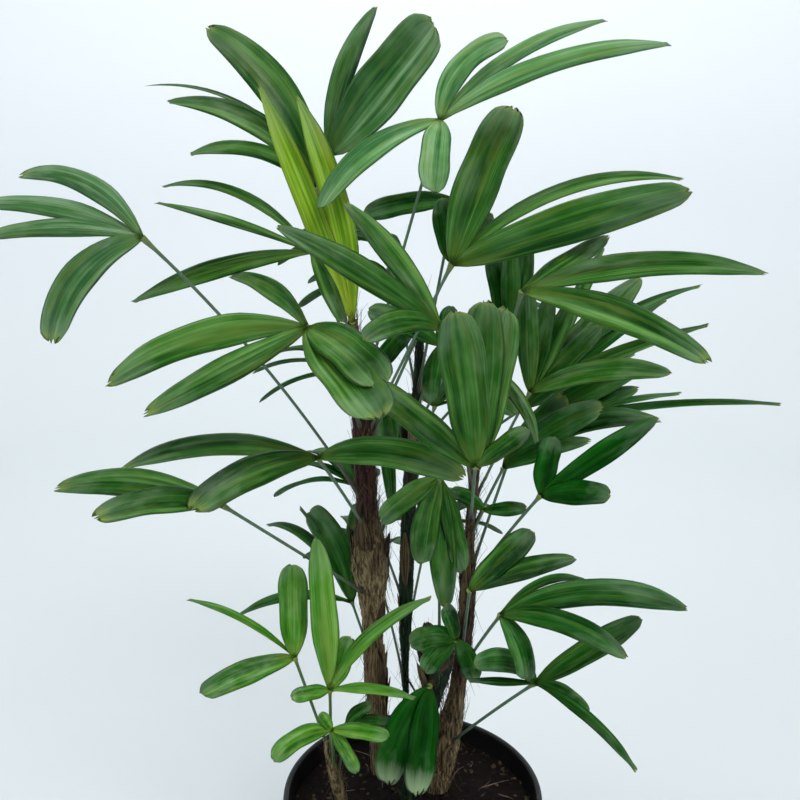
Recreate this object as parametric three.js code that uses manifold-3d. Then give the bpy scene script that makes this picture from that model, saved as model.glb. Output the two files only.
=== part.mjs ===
// Lady palm (Rhapis excelsa) in a black nursery pot: a clump of canes from one root, each with
// palmate fronds on thin stalks. Millimetres, +Z up, the origin at the centre of the pot's flat
// underside. +X is to the right and -Y towards somebody who stands in front of the plant.
import * as THREE from "three";
import { mergeVertices } from "three/addons/utils/BufferGeometryUtils.js";
import Module from "manifold-3d";

const wasm = await Module();
wasm.setup();

// ---------------------------------------------------------------- driving dimensions
const POT_HEIGHT = 235;
const POT_RIM_RADIUS = 132.5;
const POT_FOOT_RADIUS = 98;
const POT_WALL = 3;
const POT_FLOOR = 4;
const RIM_BAND_HEIGHT = 16;
const RIM_BAND_PROUD = 3;
const SOIL_LEVEL = 212;
const SOIL_CROWN = 6; // how much higher the soil stands in the middle than at the wall
const POT_SIDES = 40;
const SOIL_SIDES = 24;
const EDGE_ROUND = 3; // how far an edge of the pot is taken back
const CLEARANCE = 0.3; // gap between pieces that touch
const CANE_SUNK = 14; // how far a cane goes down into the soil
const CANE_SIDES = 8;
const CANE_RING_SPACING = 30;
const CANE_RING_STEP = 0.04; // how much thicker every other ring is, as a share
const STALK_RADIUS = 1.9;
const STALK_FOOT_SWELL = 0.5; // how much thicker a stalk is at its foot, as a share
const STALK_SIDES = 4;
const STALK_SEGMENT = 60;
const HUB_RADIUS = 5.5; // the small knuckle where a stalk ends and its leaflets start
const LEAFLET_ROOT_WIDTH = 5;
const LEAFLET_FOLD = 0.16; // height of a leaflet's raised edges as a share of its half width
const LEAFLET_THICKNESS = 0.011; // as a share of its length
const LEAFLET_LEAST_THICKNESS = 1.4;
const POINTED_WIDTH = 0.13; // a leaflet whose width is this share of its length ends in a point
const BLUNT_WIDTH = 0.24; // and from this share on it ends blunt
const GOLDEN_ANGLE = 137.5;

const DOWN = new THREE.Vector3(0, 0, -1);
const radians = THREE.MathUtils.degToRad;
const degrees = THREE.MathUtils.radToDeg;

// ---------------------------------------------------------------- finishes
const finish = (color, roughness) => new THREE.MeshStandardMaterial({ color, roughness, metalness: 0 });
const POT_PLASTIC = finish(0x17181a, 0.42);
const SOIL = finish(0x2a1d1e, 0.95);
const CANE_FIBRE = finish(0x4a3530, 0.85);
const LEAF = {
  green: finish(0x2c6135, 0.45),
  bright: finish(0x5fae2f, 0.45),
  lime: finish(0x8cc63a, 0.5),
};

// ---------------------------------------------------------------- solids
// A closed three.js geometry as a manifold-3d solid: vertices merged and flat triangles dropped.
function solidFrom(geometry) {
  const bare = geometry.clone();
  bare.deleteAttribute("normal");
  bare.deleteAttribute("uv");
  const merged = mergeVertices(bare, 1e-4);
  const index = merged.index.array;
  const kept = [];
  for (let i = 0; i < index.length; i += 3) {
    const [a, b, c] = [index[i], index[i + 1], index[i + 2]];
    if (a !== b && b !== c && c !== a) kept.push(a, b, c);
  }
  const vertProperties = new Float32Array(merged.attributes.position.array);
  const triVerts = new Uint32Array(kept);
  const solid = new wasm.Manifold(new wasm.Mesh({ numProp: 3, vertProperties, triVerts }));
  if (solid.volume() > 0) return solid;
  for (let i = 0; i < triVerts.length; i += 3) {
    [triVerts[i + 1], triVerts[i + 2]] = [triVerts[i + 2], triVerts[i + 1]];
  }
  return new wasm.Manifold(new wasm.Mesh({ numProp: 3, vertProperties, triVerts }));
}

function geometryFrom(solid) {
  const mesh = solid.getMesh();
  const geometry = new THREE.BufferGeometry();
  geometry.setAttribute("position", new THREE.BufferAttribute(mesh.vertProperties, 3));
  geometry.setIndex(new THREE.BufferAttribute(mesh.triVerts, 1));
  geometry.computeVertexNormals();
  return geometry;
}

// The largest of the bodies that a cut left behind.
function mainBody(solid) {
  return solid.decompose().reduce((best, body) => (body.volume() > best.volume() ? body : best));
}

// A cylinder whose vertices are carried onto a path. place(t, angle) gives the point at a share t
// of the length and at an angle round the section.
function sweep(sides, segments, place) {
  const geometry = new THREE.CylinderGeometry(1, 1, 1, sides, segments);
  const position = geometry.attributes.position;
  for (let i = 0; i < position.count; i++) {
    const t = position.getY(i) + 0.5;
    const onAxis = Math.hypot(position.getX(i), position.getZ(i)) < 1e-6;
    const angle = onAxis ? null : Math.atan2(position.getX(i), position.getZ(i));
    position.setXYZ(i, ...place(t, angle).toArray());
  }
  return solidFrom(geometry);
}

// A number read off a list of [share, value] stops, in straight steps.
function alongStops(stops, t) {
  const next = Math.max(1, stops.findIndex(([share]) => share >= t));
  const [[t0, v0], [t1, v1]] = [stops[next - 1], stops[next]];
  return v0 + ((v1 - v0) * (t - t0)) / (t1 - t0);
}

// ---------------------------------------------------------------- pot and soil
function potSolid() {
  const wallRadius = POT_RIM_RADIUS - RIM_BAND_PROUD;
  const bandFoot = POT_HEIGHT - RIM_BAND_HEIGHT;
  const outline = [
    [0, 0],
    [POT_FOOT_RADIUS - EDGE_ROUND, 0],
    [POT_FOOT_RADIUS, EDGE_ROUND],
    [wallRadius, bandFoot - RIM_BAND_PROUD],
    [POT_RIM_RADIUS - EDGE_ROUND / 3, bandFoot],
    [POT_RIM_RADIUS, POT_HEIGHT - EDGE_ROUND],
    [POT_RIM_RADIUS - EDGE_ROUND, POT_HEIGHT],
    [wallRadius - POT_WALL, POT_HEIGHT],
    [wallRadius - POT_WALL, bandFoot],
    [POT_FOOT_RADIUS - POT_WALL, POT_FLOOR],
    [0, POT_FLOOR],
  ].map(([radius, z]) => new THREE.Vector2(radius, z));
  return solidFrom(new THREE.LatheGeometry(outline, POT_SIDES).rotateX(Math.PI / 2));
}

// The soil fills the pot, and its top is crowned and uneven.
function soilSolid() {
  const wallRadius = POT_RIM_RADIUS - RIM_BAND_PROUD;
  const bandFoot = POT_HEIGHT - RIM_BAND_HEIGHT;
  const share = (SOIL_LEVEL - POT_FLOOR) / (bandFoot - POT_FLOOR);
  const footRadius = POT_FOOT_RADIUS - POT_WALL - CLEARANCE * 2;
  const topRadius = footRadius + (wallRadius - POT_FOOT_RADIUS) * share - 1;
  const floor = POT_FLOOR + CLEARANCE;
  const outline = [[0, floor], [footRadius, floor], [topRadius, SOIL_LEVEL]];
  for (const inward of [0.8, 0.55, 0.3]) {
    outline.push([topRadius * inward, SOIL_LEVEL + SOIL_CROWN * (1 - inward)]);
  }
  outline.push([0, SOIL_LEVEL + SOIL_CROWN]);
  const geometry = new THREE.LatheGeometry(outline.map(([r, z]) => new THREE.Vector2(r, z)), SOIL_SIDES);
  geometry.rotateX(Math.PI / 2);
  return solidFrom(geometry);
}

// ---------------------------------------------------------------- canes
// path: points on the cane's centre line from the soil up. radii: [share of the length, radius].
const CANES = {
  left_cane: {
    path: [
      [-33, 56, SOIL_LEVEL], [-40, 57, 330], [-43, 57, 430], [-47, 56, 530], [-52, 52, 640],
      [-58, 44, 715],
    ],
    radii: [
      [0, 12], [0.05, 10.5], [0.36, 11], [0.43, 15], [0.48, 20], [0.53, 19], [0.58, 12], [0.63, 10.5],
      [0.85, 10.5], [0.93, 8], [1, 4],
    ],
  },
  right_cane: {
    path: [[25, 28, SOIL_LEVEL], [33, 26, 262], [46, 24, 330], [54, 22, 420], [56, 20, 500], [61, 18, 600]],
    radii: [[0, 15], [0.14, 16], [0.22, 13], [0.3, 8], [0.6, 8], [0.67, 6], [0.76, 4.5], [1, 3.5]],
  },
  middle_cane: {
    path: [[-6, 8, SOIL_LEVEL], [4, 5, 270], [18, 4, 330], [28, 6, 396]],
    radii: [[0, 9], [0.5, 8], [0.72, 11], [0.85, 16], [0.95, 15], [1, 8]],
  },
  back_cane: {
    path: [[-4, 86, SOIL_LEVEL], [-7, 96, 320], [-6, 104, 430], [0, 112, 560], [6, 118, 640], [9, 121, 715]],
    radii: [[0, 5], [0.05, 3.5], [0.23, 3.5], [0.29, 7], [0.45, 8], [0.62, 8], [0.75, 6], [1, 3.5]],
  },
  shoot_cane: {
    path: [[-74, 10, SOIL_LEVEL], [-78, 0, 240], [-82, -8, 268], [-86, -14, 300]],
    radii: [[0, 7], [0.4, 6], [0.85, 5], [1, 3]],
  },
};

const caneCurve = (cane) =>
  new THREE.CatmullRomCurve3(cane.path.map((point) => new THREE.Vector3(...point)));

// The point on a cane's centre line at a height.
function canePoint(cane, height) {
  const curve = caneCurve(cane);
  let [low, high] = [0, 1];
  for (let step = 0; step < 20; step++) {
    const middle = (low + high) / 2;
    if (curve.getPointAt(middle).z < height) low = middle;
    else high = middle;
  }
  return curve.getPointAt(low);
}

// A cane with its taper, its fibrous swellings and a slight step at each ring. extra thickens it.
function caneSolid(cane, extra = 0) {
  const curve = caneCurve(cane);
  const rings = Math.round(curve.getLength() / CANE_RING_SPACING);
  return sweep(CANE_SIDES, rings, (t, angle) => {
    const centre = curve.getPointAt(t);
    if (t === 0) centre.z -= CANE_SUNK + extra;
    if (t === 1) centre.z += extra;
    if (angle === null) return centre;
    const step = 1 + CANE_RING_STEP * (Math.round(t * rings) % 2);
    const radius = alongStops(cane.radii, t) * step + extra;
    return centre.add(new THREE.Vector3(radius * Math.cos(angle), radius * Math.sin(angle), 0));
  });
}

// ---------------------------------------------------------------- fronds
// The centre line of a leaflet: an arc that leaves the hub at direction (seen from the front, 0 to
// the right and 90 up) leaning towards the front, and sinks towards the ground by droop degrees.
function leafletArc(hub, [direction, towards, length, , droop]) {
  const [a, b] = [radians(direction), radians(towards)];
  const start = new THREE.Vector3(Math.cos(a) * Math.cos(b), -Math.sin(b), Math.sin(a) * Math.cos(b));
  const sink = DOWN.clone().addScaledVector(start, -start.dot(DOWN)).normalize();
  const turn = Math.max(Math.min(radians(droop), start.angleTo(DOWN)), 1e-4);
  const heading = (t) =>
    start.clone().multiplyScalar(Math.cos(turn * t)).addScaledVector(sink, Math.sin(turn * t));
  const point = (t) =>
    hub.clone()
      .addScaledVector(start, (length * Math.sin(turn * t)) / turn)
      .addScaledVector(sink, (length * (1 - Math.cos(turn * t))) / turn);
  return { point, heading };
}

// Outlines from root to tip: [share of the length, half width of a pointed one, and of a blunt one].
const LEAFLET_OUTLINE = [
  [0, 0, 0], [0.22, 0.72, 0.76], [0.45, 1, 0.98], [0.72, 0.85, 1], [0.92, 0.42, 0.78], [1, 0.14, 0.42],
];

// A leaflet: a thin blade along its arc, folded slightly upwards at both edges.
function leafletSolid(hub, face, leaflet) {
  const [, , length, width, , twist = 0] = leaflet;
  const arc = leafletArc(hub, leaflet);
  const blunt = THREE.MathUtils.inverseLerp(POINTED_WIDTH, BLUNT_WIDTH, width / length);
  const thick = Math.max(length * LEAFLET_THICKNESS, LEAFLET_LEAST_THICKNESS) / 2;
  const stations = LEAFLET_OUTLINE.length - 1;
  return sweep(4, stations, (share, angle) => {
    const [t, pointedHalf, bluntHalf] = LEAFLET_OUTLINE[Math.round(share * stations)];
    const along = arc.heading(t);
    const side = along.clone().cross(face).normalize().applyAxisAngle(along, radians(twist));
    const up = side.clone().cross(along);
    const centre = arc.point(t);
    if (angle === null) return centre;
    const outline = THREE.MathUtils.lerp(pointedHalf, bluntHalf, THREE.MathUtils.clamp(blunt, 0, 1));
    const half = Math.max(outline * width, LEAFLET_ROOT_WIDTH) / 2;
    const across = Math.sin(angle) * half;
    const rise = Math.cos(angle) * thick + Math.abs(across) * LEAFLET_FOLD;
    return centre.addScaledVector(side, across).addScaledVector(up, rise);
  });
}

// A stalk from a cane to its hub: it leaves steeply and bends over by bow, a share of its length.
function stalkCurve(cane, height, hub, bow) {
  const foot = canePoint(cane, height);
  const middle = foot.clone().lerp(hub, 0.5);
  middle.z += foot.distanceTo(hub) * bow;
  return new THREE.QuadraticBezierCurve3(foot, middle, hub);
}

function stalkSolid(curve, radius) {
  const segments = Math.max(2, Math.round(curve.getLength() / STALK_SEGMENT));
  const aside = new THREE.Vector3(0.31, -0.9, 0.3); // no stalk runs along this
  return sweep(STALK_SIDES, segments, (t, angle) => {
    const centre = curve.getPoint(t);
    if (angle === null) return centre;
    const along = curve.getTangent(t);
    const side = along.clone().cross(aside).normalize();
    const up = side.clone().cross(along);
    const thick = radius * (1 + STALK_FOOT_SWELL * Math.max(0, 1 - t * 4));
    return centre
      .addScaledVector(side, Math.sin(angle) * thick)
      .addScaledVector(up, Math.cos(angle) * thick);
  });
}

// Leaflet rows: [direction, towards the front, length, width, droop, twist], degrees and mm.
// face is the way that the frond's upper surface looks; on and at are its cane and the height there.
const FRONDS = {
  far_left: {
    on: "left_cane", at: 520, hub: [-224, -60, 795], face: [0.3, -0.8, 0.55], bow: 0.1,
    leaflets: [
      [125, -15, 152, 23, 64], [155, -10, 168, 20, 32], [165, 15, 130, 17, 30], [193, 38, 120, 28, 71],
    ],
  },
  upper_left: {
    on: "left_cane", at: 640, hub: [-93, 85, 838], face: [0, -0.9, 0.4], bow: 0.05,
    leaflets: [
      [99, 0, 185, 38, 52], [113, 0, 203, 16, 75, 55], [117, 5, 168, 24, 68], [131, 20, 135, 18, 66],
    ],
  },
  top_centre: {
    on: "left_cane", at: 700, hub: [-79, 60, 867], face: [0, -1, 0.3], bow: 0.02,
    leaflets: [[88, 0, 140, 22, 34], [49, 10, 151, 52, 0]],
  },
  spear: {
    on: "left_cane", at: 690, hub: [-58, 38, 712], face: [0.2, -1, 0.1], bow: 0, leaf: "lime",
    leaflets: [[108, 5, 230, 24, 5], [91, 0, 215, 28, 25]],
  },
  left_group: {
    on: "left_cane", at: 650, hub: [-92, 5, 780], face: [0.1, -0.8, 0.6], bow: 0.05,
    leaflets: [
      [131, -25, 218, 12, 54], [157, -5, 150, 14, 12, 20], [183, 13, 165, 21, 24],
      [296, 25, 75, 16, 0],
    ],
  },
  left_middle: {
    on: "left_cane", at: 600, hub: [-87, -90, 725], face: [0.1, -0.8, 0.6], bow: 0.05,
    leaflets: [
      [175, 3, 176, 31, 42], [205, 35, 150, 25, 0], [319, 45, 115, 44, 5], [350, 42, 95, 38, 35],
      [130, -35, 125, 19, 45],
    ],
  },
  mid_left: {
    on: "left_cane", at: 490, hub: [-86, -45, 603], face: [0.1, -0.8, 0.6], bow: 0.03,
    leaflets: [[169, -20, 225, 24, 40], [168, 35, 126, 30, 44], [21, 15, 138, 30, 47]],
  },
  lower_left: {
    on: "left_cane", at: 420, hub: [-163, -90, 575], face: [0.1, -0.8, 0.6], bow: 0,
    leaflets: [[161, -12, 162, 27, 36], [151, 28, 107, 24, 42]],
  },
  dark_left: {
    on: "left_cane", at: 340, hub: [-66, 100, 393], face: [-0.2, -0.9, 0.4], bow: 0,
    leaflets: [
      [98, -10, 125, 34, 65], [90, -14, 125, 20, 60], [111, -20, 130, 9, 35], [116, -25, 185, 13, 80],
      [165, -10, 145, 12, 55],
    ],
  },
  shoot_high: {
    on: "shoot_cane", at: 285, hub: [-115, -20, 394], face: [0.2, -0.8, 0.6], bow: 0, leaf: "bright",
    leaflets: [[140, -15, 128, 12, 38, 40], [91, -8, 92, 30, 45], [177, 28, 95, 24, 22]],
  },
  shoot_middle: {
    on: "shoot_cane", at: 272, hub: [-80, -35, 368], face: [0.1, -0.8, 0.6], bow: 0, leaf: "bright",
    leaflets: [
      [93, -3, 155, 27, 2], [68, 12, 167, 14, 34], [69, -15, 55, 23, 5], [168, 25, 40, 15, 15],
      [20, 15, 87, 11, 32],
    ],
  },
  shoot_low: {
    on: "shoot_cane", at: 255, hub: [-78, -45, 332], face: [0.1, -0.6, 0.8], bow: 0, leaf: "bright",
    leaflets: [[155, 28, 66, 20, 65], [122, 0, 22, 12, 0], [16, 20, 60, 17, 20], [318, 35, 46, 14, 15]],
  },
  shoot_shade: {
    on: "shoot_cane", at: 240, hub: [-66, -15, 318], face: [0.1, -0.6, 0.8], bow: 0,
    leaflets: [[60, -10, 32, 14, 60], [15, -10, 46, 12, 40]],
  },
  top_right: {
    on: "left_cane", at: 630, hub: [23, 25, 895], face: [-0.1, -0.85, 0.5], bow: 0.02,
    leaflets: [
      [88, 0, 97, 25, 78], [50, -12, 193, 18, 38], [35, 18, 205, 24, 37], [255, 50, 75, 28, 65],
      [190, 15, 141, 26, 52],
    ],
  },
  right_high: {
    on: "left_cane", at: 590, hub: [34, 5, 769], face: [-0.1, -0.85, 0.5], bow: 0.02,
    leaflets: [[75, -15, 167, 43, 20], [23, 20, 212, 42, 8], [47, -8, 246, 16, 56]],
  },
  right_shade: {
    on: "left_cane", at: 575, hub: [36, 44, 768], face: [-0.1, -0.85, 0.5], bow: 0.02,
    leaflets: [[98, -8, 62, 26, 0], [74, -8, 64, 28, 0], [52, -8, 60, 22, 0]],
  },
  behind_top: {
    on: "back_cane", at: 620, hub: [40, 70, 826], face: [0, -0.85, 0.5], bow: 0,
    leaflets: [[178, -8, 92, 25, 22], [41, -20, 60, 16, 0]],
  },
  behind_right: {
    on: "back_cane", at: 560, hub: [97, 70, 685], face: [0, -0.85, 0.5], bow: 0.02,
    leaflets: [[100, -5, 105, 26, 0], [82, -5, 105, 24, 0], [92, 5, 105, 20, 0]],
  },
  centre_reach: {
    on: "right_cane", at: 545, hub: [18, -120, 729], face: [0, -0.9, 0.5], bow: 0.05,
    leaflets: [[140, 8, 145, 23, 15], [119, -15, 130, 20, 20], [147, 35, 78, 21, 58]],
  },
  behind_middle: {
    on: "back_cane", at: 600, hub: [26, 40, 690], face: [0, -0.85, 0.5], bow: 0.02,
    leaflets: [[141, 8, 80, 24, 25], [247, 25, 57, 19, 45], [75, 0, 40, 18, 0]],
  },
  inner_left: {
    on: "left_cane", at: 560, hub: [-41, 85, 655], face: [0, -0.85, 0.5], bow: 0.02,
    leaflets: [[291, 5, 82, 27, 60], [282, 0, 165, 16, 10], [52, 5, 62, 22, 0]],
  },
  arch_right: {
    on: "right_cane", at: 570, hub: [45, -50, 690], face: [0, -0.8, 0.6], bow: 0.02,
    leaflets: [[349, 30, 98, 14, 70], [313, 0, 65, 20, 0]],
  },
  right_reach: {
    on: "right_cane", at: 585, hub: [87, -70, 752], face: [0, -0.8, 0.6], bow: 0.04,
    leaflets: [[19, -8, 221, 27, 32], [356, 28, 160, 30, 28], [27, -32, 112, 20, 0]],
  },
  right_fan: {
    on: "right_cane", at: 535, hub: [112, 30, 646], face: [0, -0.8, 0.6], bow: 0.04,
    leaflets: [
      [94, 0, 98, 23, 0], [79, -8, 92, 21, 0], [65, -10, 100, 20, 0], [58, -28, 182, 18, 0],
      [44, -18, 165, 30, 3], [43, -5, 92, 20, 0], [31, 8, 175, 13, 15], [37, 28, 140, 26, 38],
    ],
  },
  right_back: {
    on: "back_cane", at: 520, hub: [112, 90, 614], face: [0, -0.8, 0.6], bow: 0.02,
    leaflets: [[54, -10, 250, 13, 45], [42, -5, 190, 14, 10], [18, -30, 172, 17, 0]],
  },
  right_middle: {
    on: "right_cane", at: 455, hub: [107, 55, 602], face: [0, -0.8, 0.6], bow: 0.03,
    leaflets: [
      [37, 6, 132, 26, 15], [26, 4, 124, 22, 10], [20, -5, 172, 9, 17], [13, -10, 290, 10, 20, 50],
    ],
  },
  right_dark: {
    on: "right_cane", at: 505, hub: [89, 35, 568], face: [0, -0.8, 0.6], bow: 0.03,
    leaflets: [[54, 15, 122, 29, 30], [52, -2, 95, 26, 0], [45, 35, 110, 19, 20], [51, 5, 167, 25, 62]],
  },
  centre: {
    on: "right_cane", at: 520, hub: [47, -120, 618], face: [0, -0.95, 0.3], bow: 0.03,
    leaflets: [
      [97, 12, 136, 36, 8], [88, 0, 133, 36, 0], [79, -10, 130, 32, 0], [141, -4, 105, 25, 0],
      [42, 15, 55, 16, 0],
    ],
  },
  small_reach: {
    on: "right_cane", at: 500, hub: [67, 4, 536], face: [0, -0.8, 0.6], bow: 0,
    leaflets: [[6, 10, 42, 15, 0], [130, 0, 38, 16, 40]],
  },
  low_right: {
    on: "right_cane", at: 450, hub: [107, -80, 580], face: [0, -0.8, 0.6], bow: 0.03,
    leaflets: [[26, 35, 66, 23, 18], [38, 5, 118, 21, 0], [81, -10, 52, 21, 8]],
  },
  low_middle: {
    on: "right_cane", at: 380, hub: [51, -45, 476], face: [0, -0.8, 0.6], bow: 0.03,
    leaflets: [[50, 6, 84, 25, 3], [36, 14, 106, 20, 20]],
  },
  low_reach: {
    on: "right_cane", at: 350, hub: [73, -100, 479], face: [0, -0.7, 0.7], bow: 0.03,
    leaflets: [[28, 0, 166, 26, 52], [26, 30, 115, 21, 52], [325, 45, 60, 20, 72], [46, -22, 102, 9, 72]],
  },
  low_far: {
    on: "right_cane", at: 262, hub: [107, -90, 409], face: [0, -0.7, 0.7], bow: 0.02,
    leaflets: [
      [32, -5, 110, 23, 0], [115, 15, 85, 21, 65], [165, 20, 70, 8, 0], [8, 25, 55, 15, 60],
      [351, 35, 110, 11, 40],
    ],
  },
  inner_low: {
    on: "middle_cane", at: 385, hub: [24, -10, 573], face: [0, -0.9, 0.4], bow: 0.02,
    leaflets: [[208, 0, 72, 22, 20], [249, 5, 87, 27, 40], [273, 0, 133, 27, 0], [286, 0, 100, 22, 5]],
  },
  inner_base: {
    on: "middle_cane", at: 360, hub: [41, -25, 415], face: [0, -0.8, 0.6], bow: 0.02,
    leaflets: [[150, 10, 48, 23, 60], [201, 15, 45, 21, 45], [318, 38, 42, 20, 45], [100, 6, 44, 16, 15]],
  },
  hanging: {
    on: "middle_cane", at: 330, hub: [16, -20, 363], face: [0, -0.9, 0.3], bow: 0.1,
    leaflets: [[228, 8, 115, 33, 45], [262, 18, 108, 31, 5]],
  },
};

// The far side of the clump: fronds set by one rule, lower to higher, that turn away from the front.
const FAR_SIDE = {
  count: 9,
  lowest: 400,
  highest: 780,
  stalkRise: 110, // how far a hub stands above the foot of its stalk
  reach: 120, // from the cane to a hub
  stagger: 34, // how much nearer every other hub stands
  reachLoss: 0.3, // share of the reach that the highest frond lacks
  heading: 96, // of the middle frond: 0 along +X, 90 straight back
  swing: 20, // how far the headings of the lowest fronds turn to either side of that
  swingGrowth: 50, // how much further they turn at the top
  leaflets: 5,
  spread: 21, // between two leaflets
  rise: 33, // of the middle leaflet above level
  riseFall: 1.4, // how quickly the rise falls off towards the outer leaflets
  droop: 60,
  length: 135, // of the middle leaflet of the lowest frond
  lengthGrowth: 25,
  lengthFall: 0.1, // share of the length that each further leaflet lacks
  width: 27,
  bow: 0.12,
};

function farFrond(i) {
  const share = i / (FAR_SIDE.count - 1);
  const height = FAR_SIDE.lowest + (FAR_SIDE.highest - FAR_SIDE.lowest) * share;
  const swing = FAR_SIDE.swing + FAR_SIDE.swingGrowth * share;
  const heading = FAR_SIDE.heading + swing * Math.sin(radians(GOLDEN_ANGLE * (i + 1)));
  const reach = FAR_SIDE.reach * (1 - FAR_SIDE.reachLoss * share) - FAR_SIDE.stagger * (i % 2);
  const out = new THREE.Vector3(Math.cos(radians(heading)), Math.sin(radians(heading)), 0);
  const at = height - FAR_SIDE.stalkRise;
  const hub = canePoint(CANES.back_cane, at).setZ(height).addScaledVector(out, reach);
  const longest = FAR_SIDE.length + FAR_SIDE.lengthGrowth * share;
  const leaflets = [];
  for (let k = 0; k < FAR_SIDE.leaflets; k++) {
    const fromMiddle = k - (FAR_SIDE.leaflets - 1) / 2;
    const turn = fromMiddle * FAR_SIDE.spread;
    const level = radians(heading + turn);
    const rise = radians(FAR_SIDE.rise * Math.cos(radians(turn * FAR_SIDE.riseFall)));
    const sideways = Math.cos(level) * Math.cos(rise);
    const direction = degrees(Math.atan2(Math.sin(rise), sideways));
    const towards = -degrees(Math.asin(Math.sin(level) * Math.cos(rise)));
    const length = longest * (1 - FAR_SIDE.lengthFall * Math.abs(fromMiddle));
    leaflets.push([direction, towards, length, FAR_SIDE.width, FAR_SIDE.droop]);
  }
  const face = [out.x / 3, out.y / 3, 1];
  return { on: "back_cane", at, hub: hub.toArray(), face, bow: FAR_SIDE.bow, leaflets };
}

function frondSolid(frond) {
  const hub = new THREE.Vector3(...frond.hub);
  const face = new THREE.Vector3(...frond.face).normalize();
  const cane = CANES[frond.on];
  let solid = solidFrom(new THREE.OctahedronGeometry(HUB_RADIUS, 0).translate(...frond.hub));
  solid = solid.add(stalkSolid(stalkCurve(cane, frond.at, hub, frond.bow), STALK_RADIUS));
  for (const leaflet of frond.leaflets) {
    solid = solid.add(leafletSolid(hub, face, leaflet));
  }
  for (const other of Object.values(CANES)) {
    solid = solid.subtract(caneSolid(other, CLEARANCE));
  }
  return mainBody(solid);
}

// ---------------------------------------------------------------- the plant
const group = new THREE.Group();

function addNode(name, solid, material) {
  const mesh = new THREE.Mesh(geometryFrom(solid), material);
  mesh.name = name;
  group.add(mesh);
}

addNode("pot", potSolid(), POT_PLASTIC);
let soil = soilSolid();
for (const [name, cane] of Object.entries(CANES)) {
  soil = soil.subtract(caneSolid(cane, CLEARANCE));
  addNode(name, caneSolid(cane), CANE_FIBRE);
}
addNode("soil", soil, SOIL);
for (let i = 0; i < FAR_SIDE.count; i++) {
  addNode("frond_far_side_" + (i + 1), frondSolid(farFrond(i)), LEAF.green);
}
for (const [name, frond] of Object.entries(FRONDS)) {
  addNode("frond_" + name, frondSolid(frond), LEAF[frond.leaf ?? "green"]);
}

export default group;
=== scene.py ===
# %% [markdown]
# # A lady palm in its nursery pot
# A lady palm is a clump of thin canes. Each cane is wrapped in brown fibre, the torn remains of
# old leaf sheaths, and carries stalks that end in a hand of stiff, pleated leaflets. This lesson
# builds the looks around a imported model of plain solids: the solids stay in charge of place and
# size, and every visible surface is made again with finer shapes. All lengths in the tables are
# millimetres, because a plant is measured that way; Blender gets metres.

import math
import random

import bpy
import numpy as np
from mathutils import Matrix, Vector
from mathutils import noise as perlin


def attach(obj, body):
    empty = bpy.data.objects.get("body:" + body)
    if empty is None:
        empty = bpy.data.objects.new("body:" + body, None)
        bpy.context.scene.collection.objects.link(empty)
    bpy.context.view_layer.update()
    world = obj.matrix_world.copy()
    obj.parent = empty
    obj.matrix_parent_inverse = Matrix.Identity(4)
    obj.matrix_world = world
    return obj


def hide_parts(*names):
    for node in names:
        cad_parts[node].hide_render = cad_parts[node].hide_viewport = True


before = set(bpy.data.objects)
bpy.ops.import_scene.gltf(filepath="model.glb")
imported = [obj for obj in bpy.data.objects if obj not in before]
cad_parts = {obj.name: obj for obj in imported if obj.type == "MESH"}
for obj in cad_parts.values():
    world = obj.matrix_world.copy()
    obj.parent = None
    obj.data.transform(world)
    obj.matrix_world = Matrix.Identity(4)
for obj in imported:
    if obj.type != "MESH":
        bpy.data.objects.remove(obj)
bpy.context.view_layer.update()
MM = 0.001

# %% [markdown]
# ## The camera
# The plant is seen from a little above its middle, at arm's length, so the crown is wider than the
# pot and the rim shows as an open ellipse. A camera could be aimed with a Track To constraint, but
# its place and its pitch as plain numbers give the same frame on every run. The numbers come from
# a least-squares fit of the view to points picked on the rim.

# %% Camera
CAMERA_PLACE = (-0.0129, -0.768, 0.819)
CAMERA_PITCH = 12.76  # degrees below level
camera_data = bpy.data.cameras.new("front_camera")
camera_data.sensor_width = 36.0
camera_data.lens = 38.25
camera = bpy.data.objects.new("front_camera", camera_data)
camera.location = CAMERA_PLACE
camera.rotation_euler = (math.radians(90 - CAMERA_PITCH), 0, 0)
bpy.context.collection.objects.link(camera)
bpy.context.scene.camera = camera
bpy.context.scene.view_settings.view_transform = "Standard"
print("camera at", CAMERA_PLACE)

# %% [markdown]
# ## Sums in a node tree
# A material or a Geometry Nodes tree is a long sum. Added by hand, each plus sign is a node, two
# links and a menu choice. Here a small class wraps a socket, so that an ordinary Python expression
# adds those nodes. The reflected forms, such as `__rsub__`, let a number stand first. Vectors go
# through Vector Math; colours go through a Mix node, because a Math node would turn them grey.

# %% Sockets that can be calculated with
def is_vector(value):
    """True for a tuple of three numbers and for a wire that carries a vector."""
    return isinstance(value, tuple) or (isinstance(value, Wire) and value.socket.type == "VECTOR")


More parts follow.
